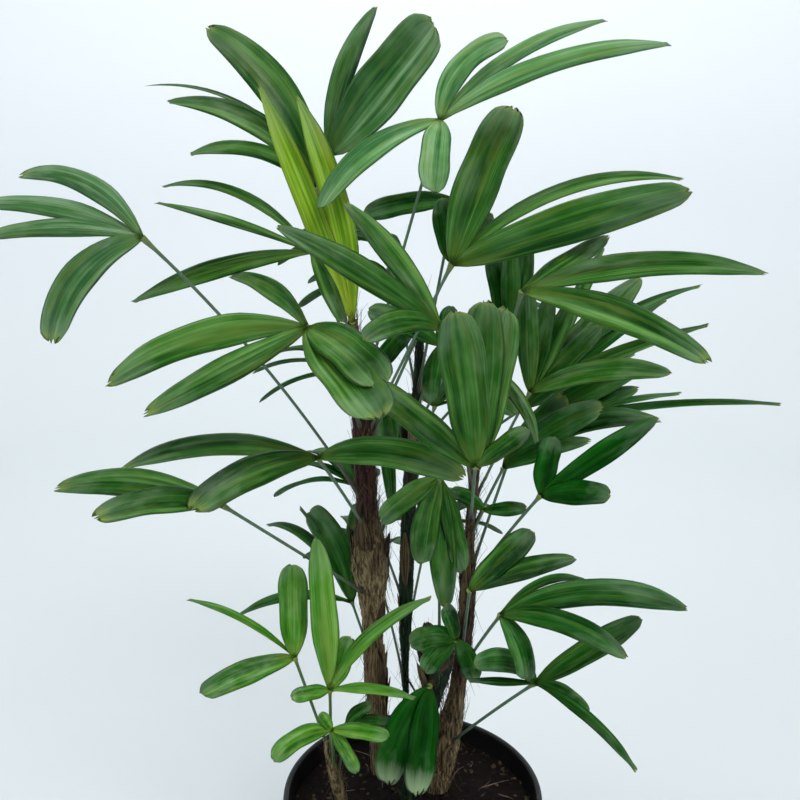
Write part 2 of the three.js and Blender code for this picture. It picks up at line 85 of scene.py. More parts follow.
class Wire:
    """An output socket. Each operator adds a Math or a Vector Math node to its tree."""

    def __init__(self, graph, socket):
        self.graph = graph
        self.socket = socket

    def out(self, name):
        return Wire(self.graph, self.socket.node.outputs[name])

    def math(self, operation, other=None, swapped=False):
        terms = [self] if other is None else [other, self] if swapped else [self, other]
        vectors = [term for term in terms if is_vector(term)]
        if operation == "MULTIPLY" and len(vectors) == 1 and len(terms) == 2:
            number = next(term for term in terms if not is_vector(term))
            inputs = {0: vectors[0], "Scale": number}
            return self.graph.node("ShaderNodeVectorMath", {"operation": "SCALE"}, inputs)
        kind = "ShaderNodeVectorMath" if vectors else "ShaderNodeMath"
        return self.graph.node(kind, {"operation": operation}, dict(enumerate(terms)))

    def __add__(self, other):
        return self.math("ADD", other)

    __radd__ = __add__

    def __sub__(self, other):
        return self.math("SUBTRACT", other)

    def __rsub__(self, other):
        return self.math("SUBTRACT", other, swapped=True)

    def __mul__(self, other):
        return self.math("MULTIPLY", other)

    __rmul__ = __mul__

    def __truediv__(self, other):
        return self.math("DIVIDE", other)

    def __pow__(self, other):
        return self.math("POWER", other)

    def __abs__(self):
        return self.math("ABSOLUTE")

    def __neg__(self):
        return self * -1.0

    def split(self):
        parts = self.graph.node("ShaderNodeSeparateXYZ", {}, {0: self})
        return [parts.out(axis) for axis in "XYZ"]

    def over(self, low, high, start=0.0, end=1.0):
        """Runs from start to end while the value goes from low to high, and no further."""
        inputs = {"Value": self, "From Min": low, "From Max": high, "To Min": start, "To Max": end}
        return self.graph.node("ShaderNodeMapRange", {"clamp": True}, inputs)


# %% [markdown]
# Any other node comes from one method. It takes the node's type, then its settings, such as an
# operation or the points of a curve, and last the values or wires of its sockets. Settings come
# first because some of them change which sockets there are.

# %% A tree that nodes are added to
def set_curve(mapping, points):
    curve = mapping.curves[0]
    curve.points[0].location, curve.points[1].location = points[0], points[-1]
    for x, y in points[1:-1]:
        curve.points.new(x, y)
    mapping.update()


class Graph:
    """A node tree of a material or of Geometry Nodes."""

    def __init__(self, tree):
        self.tree = tree

    def node(self, kind, settings=None, inputs=None, output=0):
        made = self.tree.nodes.new(kind)
        for key, value in (settings or {}).items():
            if key == "curve":
                set_curve(made.mapping, value)
            else:
                setattr(made, key, value)
        for key, value in (inputs or {}).items():
            for item in value if isinstance(value, list) else [value]:
                if isinstance(item, Wire):
                    self.tree.links.new(item.socket, made.inputs[key])
                else:
                    made.inputs[key].default_value = item
        return Wire(self, made.outputs[output])

    def attribute(self, name, kind="FLOAT"):
        """A named attribute of the mesh: in Geometry Nodes by its type, in a material by name."""
        if self.tree.bl_idname == "GeometryNodeTree":
            return self.node("GeometryNodeInputNamedAttribute", {"data_type": kind}, {"Name": name})
        found = self.node("ShaderNodeAttribute", {"attribute_name": name})
        return found.out("Vector" if kind == "FLOAT_VECTOR" else "Fac")

    def place(self):
        """A material's Object coordinates, in metres from the foot of the pot."""
        return self.node("ShaderNodeTexCoord").out("Object")

    def combine(self, x, y, z):
        return self.node("ShaderNodeCombineXYZ", {}, {0: x, 1: y, 2: z})

    def noise(self, vector, scale, detail=2.0, roughness=0.5):
        inputs = {"Vector": vector, "Scale": scale, "Detail": detail, "Roughness": roughness}
        return self.node("ShaderNodeTexNoise", {}, inputs)

    def blend(self, factor, first, second):
        """A colour between two colours."""
        inputs = {0: factor, 6: first, 7: second}
        return self.node("ShaderNodeMix", {"data_type": "RGBA"}, inputs, 2)

    def shade(self, value, low, high, dark, pale):
        """Dark below the low mark, pale above the high one, and a blend between them."""
        return self.blend(value.over(low, high), tone(dark), tone(pale))

    def marked(self, mesh, name, value):
        """The mesh with a vector stored on each of its points."""
        settings = {"data_type": "FLOAT_VECTOR", "domain": "POINT"}
        inputs = {"Geometry": mesh, "Name": name, "Value": value}
        return self.node("GeometryNodeStoreNamedAttribute", settings, inputs)

    def stood(self, points, instance, **more):
        """Real copies of one shape, standing on the points."""
        inputs = {"Points": points, "Instance": instance, **more}
        copies = self.node("GeometryNodeInstanceOnPoints", {}, inputs)
        return self.node("GeometryNodeRealizeInstances", {}, {"Geometry": copies})

    def moved(self, geometry, place):
        return self.node("GeometryNodeSetPosition", {}, {"Geometry": geometry, "Position": place})


def tone(hex_code):
    """A colour as it is seen on a screen, turned into the linear numbers that light works with."""
    shares = [int(hex_code[i : i + 2], 16) / 255 for i in (0, 2, 4)]
    return tuple(s / 12.92 if s <= 0.04045 else ((s + 0.055) / 1.055) ** 2.4 for s in shares) + (1.0,)


def new_material(name, **constants):
    """A material with its graph and a function that feeds the shader's sockets."""
    material = bpy.data.materials.new(name)
    material.use_nodes = True
    graph = Graph(material.node_tree)
    shader = material.node_tree.nodes["Principled BSDF"]
    for key, value in constants.items():
        shader.inputs[key.replace("_", " ")].default_value = value

    def feed(socket, value):
        material.node_tree.links.new(value.socket, shader.inputs[socket])

    return material, graph, feed


def speckled(name, scale, detail, fine, marks, **constants):
    """A material of two tones that one noise deals out, with that noise for more use."""
    material, graph, feed = new_material(name, **constants)
    specks = graph.noise(graph.place(), scale, detail, fine)
    feed("Base Color", graph.shade(specks, *marks))
    return material, graph, feed, specks


def relief(graph, feed, height, distance, strength=1.0):
    inputs = {"Height": height, "Distance": distance, "Strength": strength}
    feed("Normal", graph.node("ShaderNodeBump", {}, inputs))


print("node helpers ready")

# %% [markdown]
# ## Geometry Nodes as a tool
# The leaflets, the stalks, the fibres and the bark chips each follow one rule many times over, so
# each is a Geometry Nodes tree with named inputs. Where a tree makes instances, Realize Instances
# turns them into real mesh, and every tree ends in Set Material. The result is taken out as a plain
# mesh: an exported model knows nothing of modifiers.

# %% Run a tree and keep its mesh
def new_tree(name, inputs):
    """A Geometry Nodes tree with its inputs, given as name: (socket type, default)."""
    tree = bpy.data.node_groups.new(name, "GeometryNodeTree")
    tree.interface.new_socket("Geometry", in_out="INPUT", socket_type="NodeSocketGeometry")
    for label, (kind, default) in inputs.items():
        socket = tree.interface.new_socket(label, in_out="INPUT", socket_type="NodeSocket" + kind)
        if default is not None:
            socket.default_value = default
    tree.interface.new_socket("Geometry", in_out="OUTPUT", socket_type="NodeSocketGeometry")
    entry = tree.nodes.new("NodeGroupInput")
    graph = Graph(tree)
    return graph, {socket.name: Wire(graph, socket) for socket in entry.outputs if socket.name}


def end_tree(graph, geometry, material, smooth=True):
    """Shading, material and output, the last nodes of every tree."""
    smoothed = graph.node(
        "GeometryNodeSetShadeSmooth", {}, {"Geometry": geometry, "Shade Smooth": smooth}
    )
    inputs = {"Geometry": smoothed, "Material": material}
    coated = graph.node("GeometryNodeSetMaterial", {}, inputs)
    out = graph.tree.nodes.new("NodeGroupOutput")
    graph.tree.links.new(coated.socket, out.inputs["Geometry"])
    return graph.tree


def grow(name, source, tree, values):
    """Runs the tree on a source mesh and returns the result as a plain object."""
    holder = bpy.data.objects.new(name + "_source", source)
    bpy.context.collection.objects.link(holder)
    modifier = holder.modifiers.new("rule", "NODES")
    modifier.node_group = tree
    for item in tree.interface.items_tree:
        if item.item_type == "SOCKET" and item.in_out == "INPUT" and item.name in values:
            modifier[item.identifier] = values[item.name]
    evaluated = holder.evaluated_get(bpy.context.evaluated_depsgraph_get())
    mesh = bpy.data.meshes.new_from_object(evaluated)
    mesh.name = name
    bpy.data.objects.remove(holder)
    bpy.data.meshes.remove(source)
    piece = bpy.data.objects.new(name, mesh)
    bpy.context.collection.objects.link(piece)
    print(name, "triangles:", sum(len(face.vertices) - 2 for face in mesh.polygons))
    return piece


def points_mesh(name, places, attributes, edges=()):
    """A mesh of bare points, or of points joined by edges, each with named attributes."""
    mesh = bpy.data.meshes.new(name)
    mesh.from_pydata([tuple(place) for place in places], list(edges), [])
    for label, values in attributes.items():
        data = np.asarray(values, dtype=np.float32)
        kind, key = ("FLOAT_VECTOR", "vector") if data.ndim == 2 else ("FLOAT", "value")
        mesh.attributes.new(label, kind, "POINT").data.foreach_set(key, data.ravel())
    return mesh


def rows_mesh(name, rows, place):
    """A mesh of one point for each row, a dict of the attributes that a tree reads."""
    attributes = {key: [row[key] for row in rows] for key in rows[0]}
    return points_mesh(name, attributes[place], attributes)


# %% Meshes from rings
def mesh_piece(name, vertices, faces, material):
    mesh = bpy.data.meshes.new(name)
    mesh.from_pydata([tuple(v) for v in vertices], [], faces)
    mesh.polygons.foreach_set("use_smooth", [True] * len(mesh.polygons))
    mesh.materials.append(material)
    piece = bpy.data.objects.new(name, mesh)
    bpy.context.collection.objects.link(piece)
    return piece


def settle(piece, slot, *nodes):
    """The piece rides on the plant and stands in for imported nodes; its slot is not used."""
    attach(piece, "root")
    if nodes:
        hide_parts(*nodes)


def skin_rings(rings):
    """Vertices and faces of a closed skin over rings of points, with a point at either end."""
    count = len(rings[0])
    vertices = [point for ring in rings for point in ring]
    faces = []
    for r in range(len(rings) - 1):
        for k in range(count):
            a, b = r * count + k, r * count + (k + 1) % count
            faces.append((a, b, b + count, a + count))
    first, last = len(vertices), len(vertices) + 1
    vertices += [np.mean(rings[0], axis=0), np.mean(rings[-1], axis=0)]
    top = (len(rings) - 1) * count
    for k in range(count):
        faces.append((first, (k + 1) % count, k))
        faces.append((last, top + k, top + (k + 1) % count))
    return vertices, faces


def around(radius, height, count):
    """A level ring of points, anticlockwise from above."""
    angles = np.arange(count) * 2 * math.pi / count
    return np.stack([radius * np.cos(angles), radius * np.sin(angles), np.full(count, height)], 1)


print("mesh helpers ready")

# %% [markdown]
# ## The stage
# The plant stands in a plain pale studio. A floor alone would end in a horizon line behind the
# leaves. A sweep, where the floor turns up into the wall on a large curve, has no such line, and
# turned all the way round it gives the same quiet ground from every side.

# %% Floor and wall in one sweep
STAGE_FLAT = 2.3  # metres from the middle to where the floor starts to rise
STAGE_CURVE = 0.9
STAGE_WALL = 3.4
STAGE_SIDES, STAGE_STEPS = 96, 12
stage_paint, graph, feed = new_material("pale_studio_paint", Roughness=0.9)
stage_place = graph.place()
mottle = graph.noise(stage_place, 2.0)
# Painted shade: the sweep is painted a little darker near the floor and paler up the wall.
rise = (stage_place.split()[2] + mottle * 0.3).over(0.1, 1.5)
feed("Base Color", graph.blend(rise, tone("e7ecee"), tone("f4f7fb")))
stage_outline = [(0.02, 0), (STAGE_FLAT, 0)]
for step in range(1, STAGE_STEPS + 1):
    turn = math.radians(90 * step / STAGE_STEPS)
    out = STAGE_FLAT + STAGE_CURVE * math.sin(turn)
    stage_outline.append((out, STAGE_CURVE * (1 - math.cos(turn))))
stage_outline.append((STAGE_FLAT + STAGE_CURVE, STAGE_WALL))
stage_rings = [around(out, height, STAGE_SIDES) for out, height in stage_outline]
stage_vertices, stage_faces = skin_rings(stage_rings)
stage_faces = [face for face in stage_faces if len(stage_vertices) - 1 not in face]
studio = mesh_piece("studio_sweep", stage_vertices, [face[::-1] for face in stage_faces], stage_paint)

# %% [markdown]
# Large soft lights make the long pale sheens on the leaflets. One stands above and to the front
# right, a weaker one to the left opens the shadows, one overhead lights the crown, and one behind
# the plant is turned to the wall and only grazes the plant.

# %% Lights
def softbox(name, place, aim, size, power, color=(1, 1, 1)):
    data = bpy.data.lights.new(name, "AREA")
    data.shape, data.size, data.energy, data.color = "DISK", size, power, color
    light = bpy.data.objects.new(name, data)
    light.location = place
    light.rotation_euler = (Vector(aim) - Vector(place)).to_track_quat("-Z", "Y").to_euler()
    bpy.context.collection.objects.link(light)


softbox("key_light", (0.9, -1.7, 2.5), (0, 0, 0.65), 1.0, 27, (1, 0.98, 0.94))
softbox("left_light", (-1.9, -0.9, 1.9), (0, 0, 0.6), 1.4, 9, (0.95, 0.98, 1))
softbox("top_light", (0.0, 0.4, 3.2), (0, 0.1, 0.5), 2.0, 20, (0.97, 0.99, 1))
softbox("wall_light", (0.1, 1.5, 3.3), (0, 3.2, 2.1), 1.6, 30, (0.98, 1, 0.99))
world = bpy.data.worlds.new("studio_air")
world.use_nodes = True
world.node_tree.nodes["Background"].inputs["Color"].default_value = (0.92, 0.98, 1, 1)
world.node_tree.nodes["Background"].inputs["Strength"].default_value = 0.36
bpy.context.scene.world = world
print("lights set")

# %% [markdown]
# ## The pot
# A nursery pot is blown or pressed from black plastic: a straight taper, a rolled rim band that
# hands and stacked pots catch on, and a dull shine. It is a body of revolution, so its wall is a
# list of radius and height turned round the axis, with enough sides that the rim looks round.

# %% Pot plastic
POT_HEIGHT, POT_RIM, POT_FOOT = 235, 132.5, 98
POT_WALL, POT_FLOOR, BAND_HEIGHT, BAND_PROUD, EDGE_ROUND, POT_SIDES = 3, 4, 16, 3, 3, 144
pot_plastic, graph, feed = new_material("black_pot_plastic", Specular_IOR_Level=0.4)
pot_place = graph.place()
scuffs = graph.noise(pot_place * (1.0, 1.0, 0.2), 60.0, 4.0, 0.6)
dust = graph.noise(pot_place, 14.0, 5.0, 0.65).over(0.45, 0.75)
feed("Base Color", graph.blend(dust * 0.5, tone("0a0a0b"), tone("1c1b1d")))
feed("Roughness", scuffs.over(0.3, 0.7, 0.34, 0.56))
relief(graph, feed, graph.noise(pot_place, 900.0, 2.0), 0.00012, 0.35)

# %% Pot body
SOIL_LEVEL, SOIL_CROWN = 212, 6
SOIL_LIFT, SOIL_GAP = 0.3, 0.6  # how far the soil stays off the pot's floor and off its wall
SOIL_SIDES, SOIL_RINGS = 120, 70
CORNER_STEPS, WALL_STEPS, RIM_STEPS = 4, 12, 8


def turned(name, outline, sides, material):
    """A closed body of revolution from (radius, height) pairs in mm that start and end inside."""
    vertices, faces = skin_rings([around(r * MM, z * MM, sides) for r, z in outline])
    return mesh_piece(name, vertices, faces, material)


wall_top = POT_RIM - BAND_PROUD
band_foot = POT_HEIGHT - BAND_HEIGHT
pot_outline = [(1, 0), (POT_FOOT - 14, 0), (POT_FOOT - EDGE_ROUND, 0)]
for step in range(1, CORNER_STEPS + 1):
    turn = math.radians(90 * step / CORNER_STEPS)
    edge = (POT_FOOT - EDGE_ROUND + EDGE_ROUND * math.sin(turn), EDGE_ROUND * (1 - math.cos(turn)))
    pot_outline.append(edge)
for step in range(1, WALL_STEPS + 1):
    share = step / WALL_STEPS
    height = EDGE_ROUND + (band_foot - BAND_PROUD - EDGE_ROUND) * share
    pot_outline.append((POT_FOOT + (wall_top - POT_FOOT) * share, height))
pot_outline += [(wall_top + 0.3, band_foot - 2.2), (wall_top + 1.2, band_foot - 1)]
pot_outline += [(POT_RIM - 0.9, band_foot - 0.3), (POT_RIM - 0.5, band_foot + 1.2)]
pot_outline += [(POT_RIM - 0.2, band_foot + 8), (POT_RIM, POT_HEIGHT - EDGE_ROUND)]
rim_middle = (wall_top - POT_WALL + POT_RIM) / 2
rim_half = (POT_RIM - wall_top + POT_WALL) / 2
for step in range(1, RIM_STEPS + 1):
    turn = math.radians(180 * step / RIM_STEPS)
    rim_height = POT_HEIGHT - EDGE_ROUND + EDGE_ROUND * math.sin(turn) ** 0.6
    pot_outline.append((rim_middle + rim_half * math.cos(turn), rim_height))
pot_outline += [(wall_top - POT_WALL - 0.2, band_foot + 3), (wall_top - POT_WALL - 0.6, band_foot)]
pot_outline += [(POT_FOOT - POT_WALL, POT_FLOOR), (1, POT_FLOOR)]
nursery_pot = turned("nursery_pot", pot_outline, POT_SIDES, pot_plastic)
settle(nursery_pot, "pot", "pot")
print("pot faces:", len(nursery_pot.data.polygons))

# %% [markdown]
# ## The soil
# The mix is dark bark and peat, almost black with a purple cast, crumbly, with pale roots that
# creep over it. Its surface is a disc of rings whose heights come from Perlin noise at three
# sizes: clods, grains and crumbs. The bumps are real, because a bump in the material alone would
# leave the edge against the pot as smooth as a coin.

# %% Soil bed
soil_marks = (0.35, 0.75, "060405", "2a1f1d")
soil_mix, graph, feed, crumbs = speckled(
    "bark_and_peat", 160.0, 6.0, 0.7, soil_marks, Specular_IOR_Level=0.12
)
feed("Roughness", crumbs.over(0.3, 0.7, 0.75, 0.98))
relief(graph, feed, crumbs, 0.002, 0.8)


CLODS, GRAINS, CRUMBS = (0.3, 38, 3.2), (0.7, 130, 1.5), (0, 300, 0.7)  # level, scale, height in mm


def lump(x, y, level, scale, height):
    return perlin.noise(Vector((x, y, level)) * scale) * height


def soil_height(x, y):
    """Height of the soil above the pot's foot at a place, in metres."""
    share = min(1, math.hypot(x, y) / (wall_top * MM))
    clods = lump(x, y, *CLODS)
    grains = lump(x, y, *GRAINS) + lump(x, y, *CRUMBS)
    return (SOIL_LEVEL + SOIL_CROWN * (1 - share) + (clods + grains) * (1 - share**6)) * MM


soil_foot = POT_FOOT - POT_WALL - SOIL_GAP
soil_floor = (POT_FLOOR + SOIL_LIFT) * MM
wall_slope = (wall_top - POT_FOOT) / (band_foot - POT_FLOOR)
soil_top = soil_foot + wall_slope * (SOIL_LEVEL - POT_FLOOR) - SOIL_GAP
soil_rings = [around(out * MM, soil_floor, SOIL_SIDES) for out in (1, soil_foot)]
for step in range(SOIL_RINGS):
    ring = around(soil_top * MM * (1 - step / SOIL_RINGS), 0, SOIL_SIDES)
    ring[:, 2] = [soil_height(x, y) for x, y, _ in ring]
    soil_rings.append(ring)
soil_vertices, soil_faces = skin_rings(soil_rings)
soil_bed = mesh_piece("soil_bed", soil_vertices, soil_faces, soil_mix)
settle(soil_bed, "soil", "soil")
print("soil faces:", len(soil_bed.data.polygons))

# %% [markdown]
# On top lie loose chips of bark. They could be a particle system, but the export drops particles.
# Distribute Points on Faces scatters them by a fixed seed instead, and each chip is a small
# icosphere squashed flat and turned at random.

# %% Bark chips
chip_marks = (0.42, 0.75, "0e0a09", "6e5f48")
chip_bark, graph, feed, flecks = speckled(
    "bark_chips", 55.0, 3.0, 0.6, chip_marks, Specular_IOR_Level=0.15
)
feed("Roughness", flecks.over(0.3, 0.7, 0.7, 0.95))

graph, given = new_tree(
    "scattered_chips",
    {"Density": ("Float", 9000.0), "Size": ("Float", 0.003), "Material": ("Material", None)},
)
upward = graph.node("GeometryNodeInputNormal").split()[2]
high = graph.node("GeometryNodeInputPosition").split()[2]
on_top = graph.node(
    "FunctionNodeCompare", {"operation": "GREATER_THAN"}, {0: upward * (high * 5.0), 1: 0.6}
)
scatter = graph.node(
    "GeometryNodeDistributePointsOnFaces",
    {},
    {"Mesh": given["Geometry"], "Selection": on_top, "Density": given["Density"], "Seed": 4},
)
chip = graph.node("GeometryNodeMeshIcoSphere", {}, {"Radius": given["Size"], "Subdivisions": 1})
turns = graph.node(
    "FunctionNodeRandomValue", {"data_type": "FLOAT_VECTOR"}, {0: (-0.5, -0.5, 0.0), 1: (0.5, 0.5, 6.3)}
)
sizes = graph.node(
    "FunctionNodeRandomValue", {"data_type": "FLOAT_VECTOR"}, {0: (0.35, 0.3, 0.15), 1: (1.6, 0.9, 0.45)}
)
real_chips = graph.stood(scatter, chip, Rotation=turns, Scale=sizes)
chip_tree = end_tree(graph, real_chips, given["Material"], smooth=False)
soil_chips = grow("soil_chips", soil_bed.data.copy(), chip_tree, {"Material": chip_bark})
settle(soil_chips, "soil")

# %% [markdown]
# ## The canes
# A cane follows a gently bent line through a few given points. The solids use a Catmull-Rom
# curve, so the same curve is written here: it passes through every point, and the centripetal form
# never loops between two that lie close.

# %% Cane lines
CANES = {
    "left_cane": {
        "worn": [(0, 0.55), (0.3, 0.4), (0.42, 0.6), (0.56, 0.5), (0.64, 0.05), (0.76, 0.05), (0.85, 0.5)],
        "path": [(-33, 56, 212), (-40, 57, 330), (-43, 57, 430), (-47, 56, 530), (-52, 52, 640),
                 (-58, 44, 715)],
        "radii": [(0, 12), (0.05, 10.5), (0.36, 11), (0.43, 15), (0.48, 20), (0.53, 19), (0.58, 12),
                  (0.63, 10.5), (0.85, 10.5), (0.93, 8), (1, 4)],
    },
    "right_cane": {
        "worn": [(0, 0.75), (0.2, 0.6), (0.4, 0.25), (0.6, 0.3), (0.7, 0.5)],
        "path": [(25, 28, 212), (33, 26, 262), (46, 24, 330), (54, 22, 420), (56, 20, 500),
                 (61, 18, 600)],
        "radii": [(0, 15), (0.14, 16), (0.22, 13), (0.3, 8), (0.6, 8), (0.67, 6), (0.76, 4.5),
                  (1, 3.5)],
    },
    "middle_cane": {
        "worn": [(0, 0.3), (0.6, 0.1)],
        "path": [(-6, 8, 212), (4, 5, 270), (18, 4, 330), (28, 6, 396)],
        "radii": [(0, 9), (0.5, 8), (0.72, 11), (0.85, 16), (0.95, 15), (1, 8)],
    },
    "back_cane": {
        "worn": [(0, 0.2), (0.3, 0), (1, 0.1)],
        "path": [(-4, 86, 212), (-7, 96, 320), (-6, 104, 430), (0, 112, 560), (6, 118, 640),
                 (9, 121, 715)],
        "radii": [(0, 5), (0.05, 3.5), (0.23, 3.5), (0.29, 7), (0.45, 8), (0.62, 8), (0.75, 6),
                  (1, 3.5)],
    },
    "shoot_cane": {
        "worn": [(0, 0.8), (1, 0.5)],
        "path": [(-74, 10, 212), (-78, 0, 240), (-82, -8, 268), (-86, -14, 300)],
        "radii": [(0, 7), (0.4, 6), (0.85, 5), (1, 3)],
    },
}
CANE_SUNK = 14


class CaneLine:
    """A cane's centre line, which gives points by share of length or by height."""

    def __init__(self, path):
        p = [np.array(point, float) for point in path]
        p = [2 * p[0] - p[1], *p, 2 * p[-1] - p[-2]]
        samples = [p[1]]
        for a, b, c, d in zip(p, p[1:], p[2:], p[3:]):
            ga, gb, gc = (max(np.dot(v - u, v - u) ** 0.25, 1e-6) for u, v in ((a, b), (b, c), (c, d)))
            leave = ((b - a) / ga - (c - a) / (ga + gb) + (c - b) / gb) * gb
            enter = ((c - b) / gb - (d - b) / (gb + gc) + (d - c) / gc) * gb
            for t in np.linspace(0, 1, 61)[1:]:
                square, cube = t * t, t * t * t
                samples.append(
                    b * (2 * cube - 3 * square + 1) + leave * (cube - 2 * square + t)
                    + c * (3 * square - 2 * cube) + enter * (cube - square)
                )
        self.points = np.array(samples)
        steps = np.linalg.norm(np.diff(self.points, axis=0), axis=1)
        self.run = np.concatenate([[0], np.cumsum(steps)])
        self.length = self.run[-1]

    def at(self, share):
        return np.array([np.interp(share * self.length, self.run, self.points[:, k]) for k in range(3)])

    def at_height(self, height):
        return np.array([np.interp(height, self.points[:, 2], self.points[:, k]) for k in range(3)])


lines = {name: CaneLine(cane["path"]) for name, cane in CANES.items()}
print({name: round(line.length) for name, line in lines.items()})

# %% [markdown]
# The cane itself hardly shows. Each leaf once clasped it with a sheath of woven fibre, and when
# the leaf fell the sheath stayed, so the surface is a stack of torn sleeves, each standing a
# little proud of the one above. That relief is modelled: a saw-tooth for the sleeves, two crossing
# sets of fibres for the weave, and noise for tatters.

# %% Cane fibre
def cane_skin(name, old, worn):
    """Old fibre turns into worn fibre where the cane's own `worn` attribute says so."""
    material, graph, feed = new_material(name, Specular_IOR_Level=0.15)
    place = graph.place()
    streaks = graph.noise(place * (1.0, 1.0, 0.08), 420.0, 5.0, 0.7)
    patches = graph.noise(place * (1.0, 1.0, 0.5), 26.0, 3.0, 0.6)
    old_fibre = graph.shade(streaks, 0.42, 0.68, old[0], old[1])
    worn_fibre = graph.shade(streaks, 0.4, 0.64, worn[0], worn[1])
    share = (patches * 0.5 + graph.attribute("worn")).over(0.5, 0.9)
    feed("Base Color", graph.blend(share, old_fibre, worn_fibre))
    feed("Roughness", streaks.over(0.3, 0.7, 0.7, 0.95))
    relief(graph, feed, streaks, 0.0012, 0.7)
    return material


open_cane = cane_skin("cane_fibre", ("140b0a", "5c3c33"), ("3a3020", "b09c72"))
shaded_cane = cane_skin("shaded_cane_fibre", ("08120a", "2c4a30"), ("22261a", "6c745a"))

# %% Cane bodies
CANE_SIDES = 48
SLEEVE = 30  # mm of cane that each old sheath still covers
SLEEVE_FLARE, WEAVE_DEPTH, TATTER_DEPTH = 0.07, 0.22, 0.9  # a share of the radius, then mm
RING_STEP = 2.5


def cane_radius(cane, share):
    """Radius in mm at a share of the length, eased between the cane's stops."""
    stops = np.array(cane["radii"], float)
    spread = np.linspace(-0.02, 0.02, 5)
    return float(np.mean(np.interp(np.clip(share + spread, 0, 1), stops[:, 0], stops[:, 1])))


def cane_rings(name):
    cane, line = CANES[name], lines[name]
    rings = []
    for run in np.arange(-CANE_SUNK, line.length + 0.1, RING_STEP):
        share = min(max(run / line.length, 0), 1)
        centre = line.at(share) + np.array([0, 0, min(run, 0)])
        radius = cane_radius(cane, share)
        ring = around(1, 0, CANE_SIDES)
        for k, (x, y, _) in enumerate(ring):
            angle = 2 * math.pi * k / CANE_SIDES
            tatter = perlin.noise(Vector((x * 1.6, y * 1.6, run * 0.02)))
            sleeve = ((run + 7 * tatter) / SLEEVE) % 1
            weave = math.sin(angle * 12 + run * 0.5) + math.sin(angle * 12 - run * 0.5)
            flare = SLEEVE_FLARE * (sleeve - 0.5) * radius
            relief_out = flare + WEAVE_DEPTH * weave + TATTER_DEPTH * tatter
            ring[k] = centre + np.array([x, y, 0]) * (radius + relief_out)
        rings.append(ring * MM)
    return rings


for name in CANES:
    cane_vertices, cane_faces = skin_rings(cane_rings(name))
    skin = shaded_cane if name in ("middle_cane", "back_cane") else open_cane
    body = mesh_piece(name + "_bark", cane_vertices, cane_faces, skin)
    heights = (np.array(cane_vertices)[:, 2] / MM - lines[name].points[0][2]) / lines[name].length
    shares, worn = zip(*CANES[name]["worn"])
    marks = body.data.attributes.new("worn", "FLOAT", "POINT")
    marks.data.foreach_set("value", np.interp(heights, shares, worn).astype(np.float32))
    settle(body, "cane", name)
    print(body.name, len(body.data.polygons))

# %% [markdown]
# Loose fibres hang off the sleeves. A hair system would be lost in the export, so a tree carries
# a thin four-sided rod along a bent line for each fibre. Every point of the source mesh is one
# fibre, and its attributes say which way it runs, how far it lifts off and how much it curls.

# %% A tree for fibres and roots
graph, given = new_tree(
    "fibres_from_points", {"Segments": ("Int", 5), "Material": ("Material", None)}
)
rod = graph.node(
    "GeometryNodeMeshCylinder",
    {"fill_type": "TRIANGLE_FAN"},
    {"Vertices": 4, "Side Segments": given["Segments"], "Radius": 1.0, "Depth": 1.0},
)
rod_place = graph.node("GeometryNodeInputPosition") + (0.0, 0.0, 0.5)
loose = graph.stood(given["Geometry"], graph.marked(rod, "rod", rod_place))
section_x, section_y, share = graph.attribute("rod", "FLOAT_VECTOR").split()
ahead = graph.attribute("ahead", "FLOAT_VECTOR")
outward = graph.attribute("outward", "FLOAT_VECTOR")
sideways = ahead.math("CROSS_PRODUCT", outward)
length = graph.attribute("length")
thick = graph.attribute("thickness") * (1.0 - share * 0.75)
lift = graph.attribute("lift") * share * share + thick * section_y
sway = graph.attribute("curl") * (share * math.pi).math("SINE") * share + thick * section_x
origin = graph.attribute("origin", "FLOAT_VECTOR")
fibre_place = origin + ahead * (length * share) + outward * lift + sideways * sway
fibre_tree = end_tree(graph, graph.moved(loose, fibre_place), given["Material"])


# %% Fibres on the canes
chance = random.Random(11)
FIBRES = {  # cane: (how many, where they crowd as shares of the length, how far they lift, mm)
    "left_cane": [(330, 0.0, 1.0, 2), (260, 0.42, 0.66, 5)],
    "right_cane": [(220, 0.0, 1.0, 2), (170, 0.0, 0.24, 5), (120, 0.68, 0.95, 3)],
    "middle_cane": [(90, 0.0, 1.0, 2), (160, 0.6, 1.0, 6)],
    "back_cane": [(140, 0.0, 1.0, 1), (60, 0.6, 1.0, 2)],
    "shoot_cane": [(50, 0.0, 0.8, 1.5)],
}


def cane_fibres(name, count, low, high, lift):
    made = []
    for _ in range(count):
        share = low + (high - low) * chance.random()
        angle = chance.uniform(0, 2 * math.pi)
        outward = Vector((math.cos(angle), math.sin(angle), 0))
        around_cane = Vector((-math.sin(angle), math.cos(angle), 0))
        slope = chance.choice((-1, 1)) * chance.uniform(0.1, 0.75)
        rising = 1 if chance.random() < 0.7 else -1
        ahead = (Vector((0, 0, rising)) + around_cane * slope).normalized()
        radius = cane_radius(CANES[name], share)
        origin = Vector(lines[name].at(share)) + outward * (radius + 0.2)
        made.append({
            "origin": tuple(origin * MM),
            "ahead": tuple(ahead),
            "outward": tuple(outward),
            "length": chance.uniform(14, 38) * MM,
            "lift": chance.uniform(-0.2, 1) ** 2 * lift * MM,
            "curl": chance.uniform(-3, 3) * MM,
            "thickness": chance.uniform(0.18, 0.42) * MM,
        })
    return made


fibre_marks = (0.4, 0.65, "1c1310", "6e5c44")
matt = {"Roughness": 0.85, "Specular_IOR_Level": 0.3}
fibre_tan = speckled("loose_fibre", 90.0, 2.0, 0.5, fibre_marks, **matt)[0]
fibres = []
for name, sets in FIBRES.items():
    for count, low, high, lift in sets:
        fibres += cane_fibres(name, count, low, high, lift)
cane_hair = grow("cane_hair", rows_mesh("cane_hair", fibres, "origin"), fibre_tree, {"Material": fibre_tan})
settle(cane_hair, "cane")

